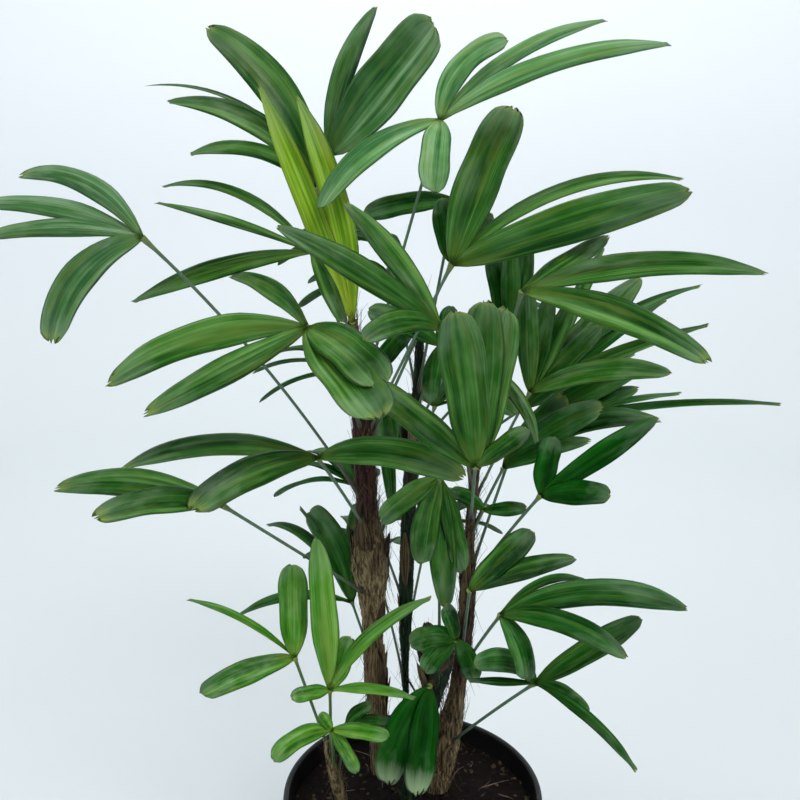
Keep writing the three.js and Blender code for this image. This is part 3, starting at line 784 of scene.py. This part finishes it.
# %% [markdown]
# Pale roots creep over the soil. They are the same shape as a fibre, only thicker, so the same tree
# makes them.

# %% Roots on the soil
ROOTS = 46
root_marks = (0.35, 0.65, "3b2a2b", "8f7668")
smoother = {"Roughness": 0.8, "Specular_IOR_Level": 0.3}
root_skin = speckled("root_skin", 120.0, 3.0, 0.5, root_marks, **smoother)[0]
roots = []
for _ in range(ROOTS):
    angle, out = chance.uniform(0, 2 * math.pi), chance.uniform(25, 105)
    heading = angle + chance.uniform(-1.4, 1.4)
    x, y = out * math.cos(angle) * MM, out * math.sin(angle) * MM
    roots.append({
        "origin": (x, y, soil_height(x, y) - 0.5 * MM),
        "ahead": (math.cos(heading), math.sin(heading), 0.0),
        "outward": (0.0, 0.0, 1.0),
        "length": min(chance.uniform(15, 48), 118 - out) * MM,
        "lift": chance.uniform(-3, 2) * MM,
        "curl": chance.uniform(-7, 7) * MM,
        "thickness": chance.uniform(0.5, 1.3) * MM,
    })
source = rows_mesh("soil_roots", roots, "origin")
soil_roots = grow("soil_roots", source, fibre_tree, {"Material": root_skin, "Segments": 10})
settle(soil_roots, "soil")

# %% [markdown]
# ## The fronds
# A frond is a stalk, a small knuckle called the hub, and leaflets that leave the hub like fingers.
# Each leaflet leaves in its own direction and sinks under its weight along a circular arc. The
# tables are the same as in the solids: direction as seen from the front, lean towards the front,
# length, width, droop and twist. They weren't all set by hand: a small program worked most hubs,
# directions, lengths and droops out by least squares, from points picked by eye along each
# leaflet, and most of the leaflet numbers were then adjusted by hand.

# %% Frond tables
def frond(on, at, hub, face, bow, *leaflets):
    """Its cane, the height where its stalk leaves, its hub, where it faces, the stalk's bow."""
    return {"on": on, "at": at, "hub": hub, "face": face, "bow": bow, "leaflets": leaflets}


FRONDS = {
    "far_left": frond("left_cane", 520, (-224, -60, 795), (0.3, -0.8, 0.55), 0.1,
        (125, -15, 152, 23, 64), (155, -10, 168, 20, 32), (165, 15, 130, 17, 30),
        (193, 38, 120, 28, 71)),
    "upper_left": frond("left_cane", 640, (-93, 85, 838), (0, -0.9, 0.4), 0.05,
        (99, 0, 185, 38, 52), (113, 0, 203, 16, 75, 55), (117, 5, 168, 24, 68), (131, 20, 135, 18, 66)),
    "top_centre": frond("left_cane", 700, (-79, 60, 867), (0, -1, 0.3), 0.02,
        (88, 0, 140, 22, 34), (49, 10, 151, 52, 0)),
    "spear": frond("left_cane", 690, (-58, 38, 712), (0.2, -1, 0.1), 0,
        (108, 5, 230, 24, 5), (91, 0, 215, 28, 25)),
    "left_group": frond("left_cane", 650, (-92, 5, 780), (0.1, -0.8, 0.6), 0.05,
        (131, -25, 218, 12, 54), (157, -5, 150, 14, 12, 20), (183, 13, 165, 21, 24),
        (296, 25, 75, 16, 0)),
    "left_middle": frond("left_cane", 600, (-87, -90, 725), (0.1, -0.8, 0.6), 0.05,
        (175, 3, 176, 31, 42), (205, 35, 150, 25, 0), (319, 45, 115, 44, 5), (350, 42, 95, 38, 35),
        (130, -35, 125, 19, 45)),
    "mid_left": frond("left_cane", 490, (-86, -45, 603), (0.1, -0.8, 0.6), 0.03,
        (169, -20, 225, 24, 40), (168, 35, 126, 30, 44), (21, 15, 138, 30, 47)),
    "lower_left": frond("left_cane", 420, (-163, -90, 575), (0.1, -0.8, 0.6), 0,
        (161, -12, 162, 27, 36), (151, 28, 107, 24, 42)),
    "dark_left": frond("left_cane", 340, (-66, 100, 393), (-0.2, -0.9, 0.4), 0,
        (98, -10, 125, 34, 65), (90, -14, 125, 20, 60), (111, -20, 130, 9, 35), (116, -25, 185, 13, 80),
        (165, -10, 145, 12, 55)),
    "shoot_high": frond("shoot_cane", 285, (-115, -20, 394), (0.2, -0.8, 0.6), 0,
        (140, -15, 128, 12, 38, 40), (91, -8, 92, 30, 45), (177, 28, 95, 24, 22)),
    "shoot_middle": frond("shoot_cane", 272, (-80, -35, 368), (0.1, -0.8, 0.6), 0,
        (93, -3, 155, 27, 2), (68, 12, 167, 14, 34), (69, -15, 55, 23, 5), (168, 25, 40, 15, 15),
        (20, 15, 87, 11, 32)),
    "shoot_low": frond("shoot_cane", 255, (-78, -45, 332), (0.1, -0.6, 0.8), 0,
        (155, 28, 66, 20, 65), (122, 0, 22, 12, 0), (16, 20, 60, 17, 20), (318, 35, 46, 14, 15)),
    "shoot_shade": frond("shoot_cane", 240, (-66, -15, 318), (0.1, -0.6, 0.8), 0,
        (60, -10, 32, 14, 60), (15, -10, 46, 12, 40)),
    "top_right": frond("left_cane", 630, (23, 25, 895), (-0.1, -0.85, 0.5), 0.02,
        (88, 0, 97, 25, 78), (50, -12, 193, 18, 38), (35, 18, 205, 24, 37), (255, 50, 75, 28, 65),
        (190, 15, 141, 26, 52)),
    "right_high": frond("left_cane", 590, (34, 5, 769), (-0.1, -0.85, 0.5), 0.02,
        (75, -15, 167, 43, 20), (23, 20, 212, 42, 8), (47, -8, 246, 16, 56)),
    "right_shade": frond("left_cane", 575, (36, 44, 768), (-0.1, -0.85, 0.5), 0.02,
        (98, -8, 62, 26, 0), (74, -8, 64, 28, 0), (52, -8, 60, 22, 0)),
    "behind_top": frond("back_cane", 620, (40, 70, 826), (0, -0.85, 0.5), 0,
        (178, -8, 92, 25, 22), (41, -20, 60, 16, 0)),
    "behind_right": frond("back_cane", 560, (97, 70, 685), (0, -0.85, 0.5), 0.02,
        (100, -5, 105, 26, 0), (82, -5, 105, 24, 0), (92, 5, 105, 20, 0)),
    "centre_reach": frond("right_cane", 545, (18, -120, 729), (0, -0.9, 0.5), 0.05,
        (140, 8, 145, 23, 15), (119, -15, 130, 20, 20), (147, 35, 78, 21, 58)),
    "behind_middle": frond("back_cane", 600, (26, 40, 690), (0, -0.85, 0.5), 0.02,
        (141, 8, 80, 24, 25), (247, 25, 57, 19, 45), (75, 0, 40, 18, 0)),
    "inner_left": frond("left_cane", 560, (-41, 85, 655), (0, -0.85, 0.5), 0.02,
        (291, 5, 82, 27, 60), (282, 0, 165, 16, 10), (52, 5, 62, 22, 0)),
    "arch_right": frond("right_cane", 570, (45, -50, 690), (0, -0.8, 0.6), 0.02,
        (349, 30, 98, 14, 70), (313, 0, 65, 20, 0)),
    "right_reach": frond("right_cane", 585, (87, -70, 752), (0, -0.8, 0.6), 0.04,
        (19, -8, 221, 27, 32), (356, 28, 160, 30, 28), (27, -32, 112, 20, 0)),
    "right_fan": frond("right_cane", 535, (112, 30, 646), (0, -0.8, 0.6), 0.04,
        (94, 0, 98, 23, 0), (79, -8, 92, 21, 0), (65, -10, 100, 20, 0), (58, -28, 182, 18, 0),
        (44, -18, 165, 30, 3), (43, -5, 92, 20, 0), (31, 8, 175, 13, 15), (37, 28, 140, 26, 38)),
    "right_back": frond("back_cane", 520, (112, 90, 614), (0, -0.8, 0.6), 0.02,
        (54, -10, 250, 13, 45), (42, -5, 190, 14, 10), (18, -30, 172, 17, 0)),
    "right_middle": frond("right_cane", 455, (107, 55, 602), (0, -0.8, 0.6), 0.03,
        (37, 6, 132, 26, 15), (26, 4, 124, 22, 10), (20, -5, 172, 9, 17), (13, -10, 290, 10, 20, 50)),
    "right_dark": frond("right_cane", 505, (89, 35, 568), (0, -0.8, 0.6), 0.03,
        (54, 15, 122, 29, 30), (52, -2, 95, 26, 0), (45, 35, 110, 19, 20), (51, 5, 167, 25, 62)),
    "centre": frond("right_cane", 520, (47, -120, 618), (0, -0.95, 0.3), 0.03,
        (97, 12, 136, 36, 8), (88, 0, 133, 36, 0), (79, -10, 130, 32, 0), (141, -4, 105, 25, 0),
        (42, 15, 55, 16, 0)),
    "small_reach": frond("right_cane", 500, (67, 4, 536), (0, -0.8, 0.6), 0,
        (6, 10, 42, 15, 0), (130, 0, 38, 16, 40)),
    "low_right": frond("right_cane", 450, (107, -80, 580), (0, -0.8, 0.6), 0.03,
        (26, 35, 66, 23, 18), (38, 5, 118, 21, 0), (81, -10, 52, 21, 8)),
    "low_middle": frond("right_cane", 380, (51, -45, 476), (0, -0.8, 0.6), 0.03,
        (50, 6, 84, 25, 3), (36, 14, 106, 20, 20)),
    "low_reach": frond("right_cane", 350, (73, -100, 479), (0, -0.7, 0.7), 0.03,
        (28, 0, 166, 26, 52), (26, 30, 115, 21, 52), (325, 45, 60, 20, 72), (46, -22, 102, 9, 72)),
    "low_far": frond("right_cane", 262, (107, -90, 409), (0, -0.7, 0.7), 0.02,
        (32, -5, 110, 23, 0), (115, 15, 85, 21, 65), (165, 20, 70, 8, 0), (8, 25, 55, 15, 60),
        (351, 35, 110, 11, 40)),
    "inner_low": frond("middle_cane", 385, (24, -10, 573), (0, -0.9, 0.4), 0.02,
        (208, 0, 72, 22, 20), (249, 5, 87, 27, 40), (273, 0, 133, 27, 0), (286, 0, 100, 22, 5)),
    "inner_base": frond("middle_cane", 360, (41, -25, 415), (0, -0.8, 0.6), 0.02,
        (150, 10, 48, 23, 60), (201, 15, 45, 21, 45), (318, 38, 42, 20, 45), (100, 6, 44, 16, 15)),
    "hanging": frond("middle_cane", 330, (16, -20, 363), (0, -0.9, 0.3), 0.1,
        (228, 8, 115, 33, 45), (262, 18, 108, 31, 5)),
}

# %% [markdown]
# The far side of the clump follows one rule instead of a table: fronds at even heights on the
# back cane, whose headings swing by the golden angle, which scatters them to either side.

# %% Far side rule
GOLDEN_ANGLE = 137.5
FAR_SIDE = {
    "count": 9, "lowest": 400, "highest": 780, "stalk_rise": 110, "reach": 120, "stagger": 34,
    "reach_loss": 0.3, "heading": 96, "swing": 20, "swing_growth": 50, "leaflets": 5, "spread": 21,
    "rise": 33, "rise_fall": 1.4, "droop": 60, "length": 135, "length_growth": 25,
    "length_fall": 0.1, "width": 27, "bow": 0.12,
}


def far_frond(i):
    rule = FAR_SIDE
    share = i / (rule["count"] - 1)
    height = rule["lowest"] + (rule["highest"] - rule["lowest"]) * share
    swing = rule["swing"] + rule["swing_growth"] * share
    heading = rule["heading"] + swing * math.sin(math.radians(GOLDEN_ANGLE * (i + 1)))
    reach = rule["reach"] * (1 - rule["reach_loss"] * share) - rule["stagger"] * (i % 2)
    out = np.array([math.cos(math.radians(heading)), math.sin(math.radians(heading)), 0])
    at = height - rule["stalk_rise"]
    hub = lines["back_cane"].at_height(at)
    hub[2] = height
    hub = hub + out * reach
    longest = rule["length"] + rule["length_growth"] * share
    leaflets = []
    for k in range(rule["leaflets"]):
        from_middle = k - (rule["leaflets"] - 1) / 2
        turn = from_middle * rule["spread"]
        level = math.radians(heading + turn)
        rise = math.radians(rule["rise"] * math.cos(math.radians(turn * rule["rise_fall"])))
        sideways = math.cos(level) * math.cos(rise)
        direction = math.degrees(math.atan2(math.sin(rise), sideways))
        towards = -math.degrees(math.asin(math.sin(level) * math.cos(rise)))
        length = longest * (1 - rule["length_fall"] * abs(from_middle))
        leaflets.append((direction, towards, length, rule["width"], rule["droop"]))
    face = (out[0] / 3, out[1] / 3, 1)
    return frond("back_cane", at, tuple(hub), face, rule["bow"], *leaflets)


for i in range(FAR_SIDE["count"]):
    FRONDS["far_side_%d" % (i + 1)] = far_frond(i)
print("fronds:", len(FRONDS), "leaflets:", sum(len(f["leaflets"]) for f in FRONDS.values()))

# %% [markdown]
# ## Leaf colours
# A palm's greens differ from frond to frond: young shoots are yellow-green, old fronds darker.
# Each frond is dealt one plain base colour, which also holds painted light and shade: the nearly
# black-green tints are painted shade for fronds under and behind the crown, and the greyed, bluish
# ones a painted sheen. The material adds what every blade shares: fine lengthwise veins, a yellow
# root, a paler underside and a dry tip, and painted light on top: one half of the blade painted
# lighter than the other, a painted highlight along the edges and a paler, greyer painted reflection
# towards the tip. The pattern reads the `blade` attribute, which holds each point's place across
# and along its own leaflet.

# %% Leaf materials
TINTS = {  # name: (dark streaks, body, pale streaks, root)
    # Painted shade: deep and emerald are darker copies of the green for fronds under and behind the crown.
    "deep": ("042a08", "1c5a14", "508a44", "4a6c24"),
    "mid": ("083607", "2b6416", "669845", "607a28"),
    # Painted sheen: soft and mist are greyed, bluish copies of the green for fronds that catch a pale
    # sheen.
    "soft": ("0e3d13", "366d2c", "7ea672", "5a7836"),
    "mist": ("1e4c27", "44763c", "88aa82", "66843f"),
    "pale": ("366e38", "669c58", "a6ca9a", "86a04a"),
    "emerald": ("033404", "085208", "26701c", "2c5c18"),
    "bright": ("1f5c05", "488e1c", "84b44e", "829e36"),
    "lime": ("568408", "90bc28", "c6e066", "aab236"),
}
SHEEN = {"deep": 0.4, "emerald": 0.3, "mid": 0.7}  # the darkest leaves are the least glossy


def leaf_material(name, dark, body, pale, root, sheen):
    material, graph, feed = new_material(name, Specular_IOR_Level=0.12 * sheen, Coat_Roughness=0.34)
    across, along, side = graph.attribute("blade", "FLOAT_VECTOR").split()
    luck, pleats = graph.attribute("luck"), graph.attribute("pleats")
    streaks = graph.noise(graph.combine(across * pleats * 0.3, along * 0.4, luck * 40.0), 2.2, 2.0, 0.6)
    veins = graph.noise(graph.combine(across * pleats * 1.6, along * 0.3, luck * 23.0), 3.0, 2.0, 0.6)
    cloud = graph.noise(graph.combine(across, along * 4.0, luck * 17.0), 1.3, 2.0)
    warmth = graph.noise(graph.combine(across * 1.4, along * 1.1, luck * 31.0), 1.7, 3.0, 0.6)
    lit_half = (across * (luck - 0.5)).over(-0.1, 0.1, -0.05, 0.05)
    value = streaks * 0.46 + veins * 0.24 + cloud * 0.14 + lit_half + (luck - 0.5) * 0.08 + 0.11
    green = graph.shade(value, 0.42, 0.56, dark, body)
    green = graph.blend(value.over(0.56, 0.72), green, tone(pale))
    green = graph.blend(warmth.over(0.5, 0.66, 0.0, 0.45), green, tone(root))
    green = graph.blend((along + streaks * 0.3).over(0.15, 0.36, 0.5, 0.0), green, tone(root))
    # Painted highlight: the blade's edges are lightened towards the pale tone.
    green = graph.blend(abs(across).over(0.93, 0.99, 0.0, 0.5), green, tone(pale))
    # Painted reflection: towards the tip the blade turns paler and greyer, like a sheen of pale sky.
    green = graph.blend((along + cloud * 0.6).over(0.95, 1.35, 0.0, 0.3), green, tone("8fa889"))
    green = graph.blend(side.over(-0.3, 0.3, 0.35 * sheen, 0.0), green, tone("7c9a74"))
    dry = graph.attribute("dry")
    tip = (along + veins * 0.1 + dry).over(1.03, dry * 0.7 + 1.08, 0.0, 0.8)
    torn_tone = graph.shade(dry, 0.08, 0.2, "8ca048", "a8c094")
    feed("Base Color", graph.blend(tip, green, torn_tone))
    feed("Roughness", (veins * 0.6 + tip * 0.3).over(0.2, 0.6, 0.36, 0.55))
    feed("Coat Weight", (cloud + streaks * 0.4).over(0.6, 0.85, 0.05 * sheen, 0.5 * sheen))
    relief(graph, feed, veins + streaks, 0.0008, 0.6)
    return material


leaf_looks = {}
for tint, tones in TINTS.items():
    leaf_looks[tint] = leaf_material("leaf_" + tint, *tones, SHEEN.get(tint, 1.0))
print("leaf materials:", sorted(leaf_looks))

# %% Tint of each frond
DEALT = {
    "spear": "lime", "shoot_high": "bright", "shoot_middle": "bright", "shoot_low": "bright",
    "top_right": "pale", "far_left": "mist", "upper_left": "mid", "top_centre": "soft",
    "left_group": "mid", "left_middle": "mid", "lower_left": "mid", "mid_left": "mid",
    "right_high": "mid", "centre_reach": "mid", "right_reach": "mid", "right_fan": "mid",
    "centre": "mid", "inner_low": "mid", "low_middle": "mid", "arch_right": "mid",
    "hanging": "emerald", "low_right": "emerald",
}
DRY = {  # how far a frond's tips have dried, as a share of the leaflet
    "far_left": 0.06, "left_middle": 0.04, "lower_left": 0.07, "mid_left": 0.06, "right_dark": 0.04,
    "right_reach": 0.02, "hanging": 0.2,
}

# %% [markdown]
# ## The leaflets
# A blade starts as a flat lens: two grids, one turned over, welded along their rims, so it is one
# closed body. An instance of it stands on every point of the source, and once the instances are
# real, Set Position carries each vertex onto its own leaflet's arc. The pleats are geometry: a
# zigzag across the blade, as in a folded paper fan. The tip is cut a little slanted with a notch
# at each fold, and a dry tip is torn.

# %% Leaflet tree
POINTED = [(0, 0), (0.22, 0.72), (0.45, 1), (0.72, 0.85), (0.92, 0.42), (1, 0.1)]
BLUNT = [(0, 0), (0.22, 0.76), (0.45, 0.98), (0.72, 1), (0.92, 0.8), (0.98, 0.5), (1, 0.2)]
graph, given = new_tree(
    "leaflets_on_arcs",
    {
        "Columns": ("Int", 8), "Rows": ("Int", 20), "Thickness": ("Float", 0.0007),
        "Root Width": ("Float", 0.004), "Fold": ("Float", 0.16), "Pleat": ("Float", 0.36),
        "Notch": ("Float", 0.0012), "Material": ("Material", None),
    },
)
flat = graph.node(
    "GeometryNodeMeshGrid",
    {},
    {"Size X": 2.0, "Size Y": 1.0, "Vertices X": given["Columns"] + 1.0,
     "Vertices Y": given["Rows"] + 1.0},
)
flat_x, flat_y, _ = graph.node("GeometryNodeInputPosition").split()
run = 1.0 - (0.5 - flat_y) ** 1.35
lens = (1.0 - flat_x**4.0) * run.over(0, 0.06) * (1.0 - run).over(0, 0.06)
upper = graph.moved(flat, graph.combine(flat_x, run, lens))
lower = graph.moved(flat, graph.combine(flat_x, run, -lens))
lower = graph.node("GeometryNodeFlipFaces", {}, {"Mesh": lower})
both = graph.node("GeometryNodeJoinGeometry", {}, {"Geometry": [upper, lower]})
welded = graph.node("GeometryNodeMergeByDistance", {}, {"Geometry": both, "Distance": 0.0001})
blade = graph.marked(welded, "blade", graph.node("GeometryNodeInputPosition"))
real_blades = graph.stood(given["Geometry"], blade)

# %% Leaflet shape
MOST_TORN, SLANT = 0.07, 0.035  # shares of the length that a torn and a slanted tip lose
RIPPLE, WAVE = 0.06, 0.04  # radians that a blade twists to and fro, and its wavy edge's share
across, along, side = graph.attribute("blade", "FLOAT_VECTOR").split()
length, width = graph.attribute("length"), graph.attribute("width")
pleats, luck = graph.attribute("pleats"), graph.attribute("luck")
ridge = abs((across * pleats * 0.5 + 100.5).math("FRACT") * 2.0 - 1.0)
bites = ((across * 7.0 + luck * 60.0).math("SINE") * 0.5 + 0.5) ** 2.0
torn = bites * graph.attribute("dry").math("MINIMUM", MOST_TORN) * 0.7
slant = (across * (luck - 0.5) + abs(luck - 0.5)) * SLANT
shortened = along * (1.0 - (1.0 - ridge) * given["Notch"] / length - torn - slant)
angle = graph.attribute("turn") * shortened
start = graph.attribute("start", "FLOAT_VECTOR")
sink = graph.attribute("sink", "FLOAT_VECTOR")
cosine, sine = angle.math("COSINE"), angle.math("SINE")
heading = start * cosine + sink * sine
bend = length / graph.attribute("turn")
middle = graph.attribute("hub", "FLOAT_VECTOR") + start * (bend * sine) + sink * (bend * (1.0 - cosine))
crossing = heading.math("CROSS_PRODUCT", graph.attribute("face", "FLOAT_VECTOR")).math("NORMALIZE")
ripple = (along * 5.0 + luck * 9.0).math("SINE") * RIPPLE
turned_side = graph.node(
    "ShaderNodeVectorRotate",
    {"rotation_type": "AXIS_ANGLE"},
    {"Vector": crossing, "Axis": heading, "Angle": graph.attribute("twist") + ripple},
)
above = turned_side.math("CROSS_PRODUCT", heading)
pointed = graph.node("ShaderNodeFloatCurve", {"curve": POINTED}, {"Value": along})
blunt = graph.node("ShaderNodeFloatCurve", {"curve": BLUNT}, {"Value": along})
outline = pointed + (blunt - pointed) * graph.attribute("blunt")
waves = (along * 12.0 + luck * 30.0).math("SINE") * WAVE + 0.97
half = (outline * waves * width * 0.5).math("MAXIMUM", given["Root Width"] * 0.5)
offset = across * half
pleat_height = (ridge - 0.5) * given["Pleat"] * half / pleats * 2.0 * along.over(0.95, 1.0, 1.0, 0.6)
lifted = abs(offset) * given["Fold"] * (luck * 1.2 + 0.4) + pleat_height + side * given["Thickness"] * 0.5
leaf_place = middle + turned_side * offset + above * lifted
leaf_tree = end_tree(graph, graph.moved(real_blades, leaf_place), given["Material"])

# %% Points for the leaflets
DOWN = Vector((0, 0, -1))
BROAD = 40  # mm; a broader leaflet has twice the pleats
POINTED_WIDTH, BLUNT_WIDTH = 0.13, 0.24  # width over length where a tip is pointed, and blunt
chance = random.Random(5)


def leaflet_point(name, hand, row):
    """The attributes that the leaflet tree reads, for one row of a frond's table."""
    direction, towards, length, width, droop = row[:5]
    a, b = math.radians(direction), math.radians(towards)
    start = Vector((math.cos(a) * math.cos(b), -math.sin(b), math.sin(a) * math.cos(b)))
    sink = (DOWN - start * start.dot(DOWN)).normalized()
    return {
        "hub": tuple(Vector(hand["hub"]) * MM),
        "start": tuple(start),
        "sink": tuple(sink),
        "face": tuple(Vector(hand["face"]).normalized()),
        "turn": max(min(math.radians(droop), start.angle(DOWN)), 1e-3),
        "length": length * MM,
        "width": width * MM,
        "twist": math.radians(row[5] if len(row) > 5 else 0),
        "blunt": min(max((width / length - POINTED_WIDTH) / (BLUNT_WIDTH - POINTED_WIDTH), 0), 1),
        "pleats": 8 if width > BROAD else 4,
        "dry": DRY.get(name, 0.0) + 0.03 * chance.random(),
        "luck": chance.random(),
    }


kinds = {}
for name, hand in FRONDS.items():
    tint = DEALT.get(name, "deep")
    for row in hand["leaflets"]:
        size = "broad" if row[3] > BROAD else "slim"
        kinds.setdefault((tint, size), []).append(leaflet_point(name, hand, row))
SLOT_OF = {"bright": "leaf_bright", "lime": "leaf_lime"}
for (tint, size), leaflets in kinds.items():
    source = rows_mesh("leaflet_points", leaflets, "hub")
    values = {"Columns": 16 if size == "broad" else 8, "Material": leaf_looks[tint]}
    piece = grow("leaves_%s_%s" % (tint, size), source, leaf_tree, values)
    settle(piece, SLOT_OF.get(tint, "leaf"))
for name, hand in FRONDS.items():
    size = "broad" if hand["leaflets"][0][3] > BROAD else "slim"
    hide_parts("frond_" + name)

# %% [markdown]
# The same tree makes the torn sheaths that still cling to the canes. A sheath strip is a short dry
# blade that starts on the cane's skin, runs up it and stands off a little at its ragged end. Its
# fold is turned inwards, so that it hugs the round cane.

# %% Torn sheaths
SHEATHS = {  # cane: (strips, lowest and highest foot in mm, shortest and longest, lean outwards)
    "left_cane": [(26, 385, 450, 40, 70, 5), (16, 230, 380, 30, 55, 4), (8, 540, 620, 35, 60, 5)],
    "right_cane": [(14, 214, 262, 35, 62, 6), (9, 400, 520, 40, 62, 4)],
    "middle_cane": [(16, 318, 372, 30, 52, 14)],
    "back_cane": [(12, 330, 600, 40, 70, 5)],
    "shoot_cane": [(5, 214, 260, 20, 35, 5)],
}
sheath_skin, graph, feed = new_material("torn_sheath", Specular_IOR_Level=0.15)
across, along, side = graph.attribute("blade", "FLOAT_VECTOR").split()
luck = graph.attribute("luck")
weave = graph.noise(graph.combine(across * 4.0, along * 0.7, luck * 30.0), 3.0, 4.0, 0.7)
dark_strip = graph.shade(weave, 0.42, 0.66, "0f0a09", "4e3a30")
pale_strip = graph.shade(weave, 0.42, 0.66, "3a2c1e", "a8926a")
feed("Base Color", graph.blend(luck.over(0.1, 0.7), dark_strip, pale_strip))
feed("Roughness", weave.over(0.3, 0.7, 0.75, 0.95))
relief(graph, feed, weave, 0.0012, 0.7)


def sheath_strip(name, low, high, shortest, longest, lean):
    line = lines[name]
    height = chance.uniform(low, high)
    angle = chance.uniform(0, 2 * math.pi)
    outward = Vector((math.cos(angle), math.sin(angle), 0))
    share = (height - line.points[0][2]) / line.length
    radius = cane_radius(CANES[name], share)
    start = (Vector((0, 0, 1)) + outward * math.tan(math.radians(lean * chance.random()))).normalized()
    sink = (outward - start * start.dot(outward)).normalized()
    return {
        "hub": tuple((Vector(line.at_height(height)) + outward * (radius - 0.6)) * MM),
        "start": tuple(start),
        "sink": tuple(sink),
        "face": tuple(outward),
        "turn": math.radians(chance.uniform(1, lean * 1.6)),
        "length": chance.uniform(shortest, longest) * MM,
        "width": radius * chance.uniform(0.8, 1.5) * MM,
        "twist": math.radians(chance.uniform(-8, 8)),
        "blunt": chance.random(),
        "pleats": 4,
        "dry": chance.uniform(0.05, 0.2),
        "luck": chance.random(),
    }


strips = []
for name, sets in SHEATHS.items():
    for count, *sizes in sets:
        strips += [sheath_strip(name, *sizes) for _ in range(count)]
source = rows_mesh("sheath_points", strips, "hub")
values = {"Rows": 12, "Fold": -0.3, "Pleat": 0.2, "Notch": 0.001, "Material": sheath_skin}
torn_sheaths = grow("torn_sheaths", source, leaf_tree, values)
settle(torn_sheaths, "cane")

# %% [markdown]
# ## The stalks
# A stalk is thin and wiry, thicker where its sheath clasps the cane, and ends in the knuckle that
# the leaflets spring from. It follows a quadratic Bezier line. The source mesh is that line as
# joined points with a radius at each, and Curve to Mesh sweeps a circle along it.

# %% Stalk tree
graph, given = new_tree("stalks_on_lines", {"Sides": ("Int", 8), "Material": ("Material", None)})
inputs = {
    "Curve": graph.node("GeometryNodeMeshToCurve", {}, {"Mesh": given["Geometry"]}),
    "Profile Curve": graph.node(
        "GeometryNodeCurvePrimitiveCircle", {}, {"Resolution": given["Sides"], "Radius": 1.0}
    ),
    "Scale": graph.attribute("radius"),
    "Fill Caps": True,
}
swept = graph.node("GeometryNodeCurveToMesh", {}, inputs)
stalk_tree = end_tree(graph, swept, given["Material"])

# %% Stalk skin and lines
def stalk_material(name, foot, skin, knuckle):
    material, graph, feed = new_material(name, Specular_IOR_Level=0.4)
    share = graph.attribute("share")
    place = graph.place()
    spots = graph.noise(place * (1.0, 1.0, 0.3), 220.0, 3.0, 0.6)
    green = graph.shade(share, 0.05, 0.3, foot, skin)
    green = graph.blend(share.over(0.93, 1.0), green, tone(knuckle))
    feed("Base Color", graph.blend(spots.over(0.4, 0.9) * 0.5, green, tone("2c362b")))
    feed("Roughness", spots.over(0.3, 0.7, 0.4, 0.6))
    return material


STALK_POINTS, STALK_RADIUS = 22, 1.5
FOOT_SWELL, FOOT_REACH = 2.2, 0.09  # mm more at the foot, and the share of the length it takes
KNUCKLE_SWELL, KNUCKLE_REACH = 1.6, 0.035


def stalk_line(hand):
    """Points and radii in mm from the cane to the hub."""
    foot = lines[hand["on"]].at_height(hand["at"])
    hub = np.array(hand["hub"], float)
    middle = (foot + hub) / 2
    middle[2] += np.linalg.norm(hub - foot) * hand["bow"]
    points, radii = [], []
    for t in np.linspace(0, 1, STALK_POINTS):
        points.append((1 - t) ** 2 * foot + 2 * t * (1 - t) * middle + t * t * hub)
        foot_part = FOOT_SWELL * math.exp(-((t / FOOT_REACH) ** 2))
        knuckle = KNUCKLE_SWELL * math.exp(-(((1 - t) / KNUCKLE_REACH) ** 2))
        radii.append(STALK_RADIUS + (foot_part + knuckle))
    return points, radii


def grow_stalks(piece_name, names, material):
    places, edges, radii, shares = [], [], [], []
    for name in names:
        points, widths = stalk_line(FRONDS[name])
        first = len(places)
        places += [point * MM for point in points]
        radii += [width * MM for width in widths]
        shares += list(np.linspace(0, 1, STALK_POINTS))
        edges += [(first + k, first + k + 1) for k in range(STALK_POINTS - 1)]
    source = points_mesh(piece_name, places, {"radius": radii, "share": shares}, edges)
    piece = grow(piece_name, source, stalk_tree, {"Material": material})
    settle(piece, "leaf_bright" if "shoot" in piece_name else "leaf")


young = [name for name in FRONDS if DEALT.get(name) in ("bright", "lime")]
grown = [name for name in FRONDS if name not in young]
grow_stalks("stalks", grown, stalk_material("stalk_skin", "46382f", "587258", "6f7f3c"))
grow_stalks("shoot_stalks", young, stalk_material("young_stalk_skin", "544631", "50703a", "829c40"))
